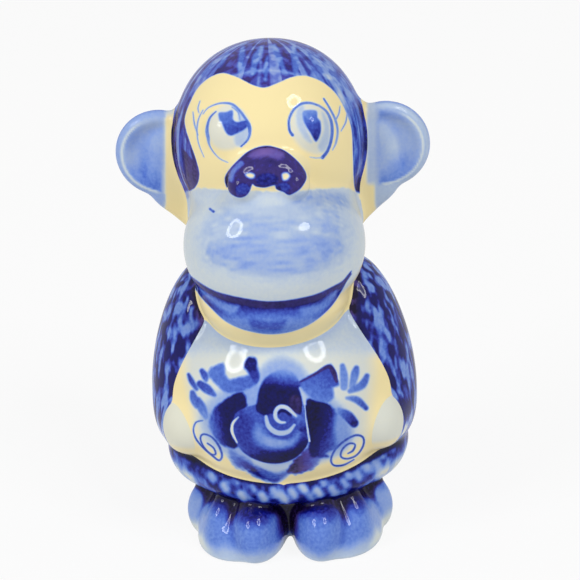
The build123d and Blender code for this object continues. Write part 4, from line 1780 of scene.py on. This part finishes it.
@dataclass(frozen=True)
class Studio:
    """A pale floor, two soft lamps and an even pale world.

    Fields:
        lamps: the lamps.
        white: the background, as the camera and the gloss see it.
        paper: the floor under the lamps.
        shadow: how much of the floor's own light and shade shows in the background.
        level: the world's light.
        half: half the floor's width in millimetres.
    """

    lamps: tuple[Lamp, ...] = (Lamp("left_lamp", -53.0, 36.0), Lamp("right_lamp", 44.0, 46.0))
    white: str = "FDFDFD"
    paper: str = "F4F4F4"
    shadow: float = 0.09
    level: float = 0.38
    half: float = 3000.0

    def build(self) -> None:
        """Makes the floor, the lamps and the world."""
        bpy.context.scene.view_settings.view_transform = "Standard"
        self.floor()
        self.world()
        for lamp in self.lamps:
            lamp.build()

    def seen(self, tree: bpy.types.NodeTree) -> bpy.types.NodeSocket:
        """1 for what the camera or the gloss sees, and 0 for the light itself.

        Args:
            tree: the nodes that it is for.

        Returns:
            The output that carries it.
        """
        path = add_node(tree, "ShaderNodeLightPath")
        total = path.outputs["Is Camera Ray"]
        for ray in ("Is Glossy Ray", "Is Transmission Ray"):
            larger = {"operation": "MAXIMUM"}
            total = add_node(tree, "ShaderNodeMath", larger, {0: total, 1: path.outputs[ray]}).outputs[0]
        return total

    def floor(self) -> None:
        """A pale floor that the camera sees as plain white round the figurine's soft shadow."""
        corners = self.half * np.array([(-1, -1, 0), (1, -1, 0), (1, 1, 0), (-1, 1, 0)], float)
        floor = object_of("floor", mesh_of("floor", corners, np.zeros((0, 3), int), np.array([[0, 1, 2, 3]])))
        material = bpy.data.materials.new("matt white paper")
        tree = cleared(material)
        paper = add_node(
            tree, "ShaderNodeBsdfPrincipled", None,
            {"Base Color": linear(self.paper), "Roughness": 0.9, "Specular IOR Level": 0.0},
        )
        glow = add_node(tree, "ShaderNodeEmission", None, {"Color": linear(self.white), "Strength": 1.0})
        share = add_node(
            tree, "ShaderNodeMath", {"operation": "MULTIPLY"}, {0: self.seen(tree), 1: 1 - self.shadow}
        )
        mixed = add_node(
            tree, "ShaderNodeMixShader", None, {0: share.outputs[0], 1: paper.outputs[0], 2: glow.outputs[0]}
        )
        add_node(tree, "ShaderNodeOutputMaterial", None, {"Surface": mixed.outputs[0]})
        floor.data.materials.append(material)

    def world(self) -> None:
        """An even pale surround, plain white where the camera and the gloss see it."""
        world = bpy.data.worlds.new("studio")
        bpy.context.scene.world = world
        tree = cleared(world)
        white = add_node(tree, "ShaderNodeBackground", None, {"Color": linear(self.white), "Strength": 1.0})
        even = {"Color": linear("FFFFFF"), "Strength": self.level}
        light = add_node(tree, "ShaderNodeBackground", None, even)
        mixed = add_node(
            tree, "ShaderNodeMixShader", None, {0: self.seen(tree), 1: light.outputs[0], 2: white.outputs[0]}
        )
        add_node(tree, "ShaderNodeOutputWorld", None, {"Surface": mixed.outputs[0]})


def main() -> None:
    """Builds the figurine and its studio, and reports each piece."""
    logging.basicConfig(level=logging.INFO, format="%(name)s %(message)s", stream=sys.stdout)
    Monkey().build()
    Studio().build()
    VIEW.camera()


if __name__ == "__main__":
    main()
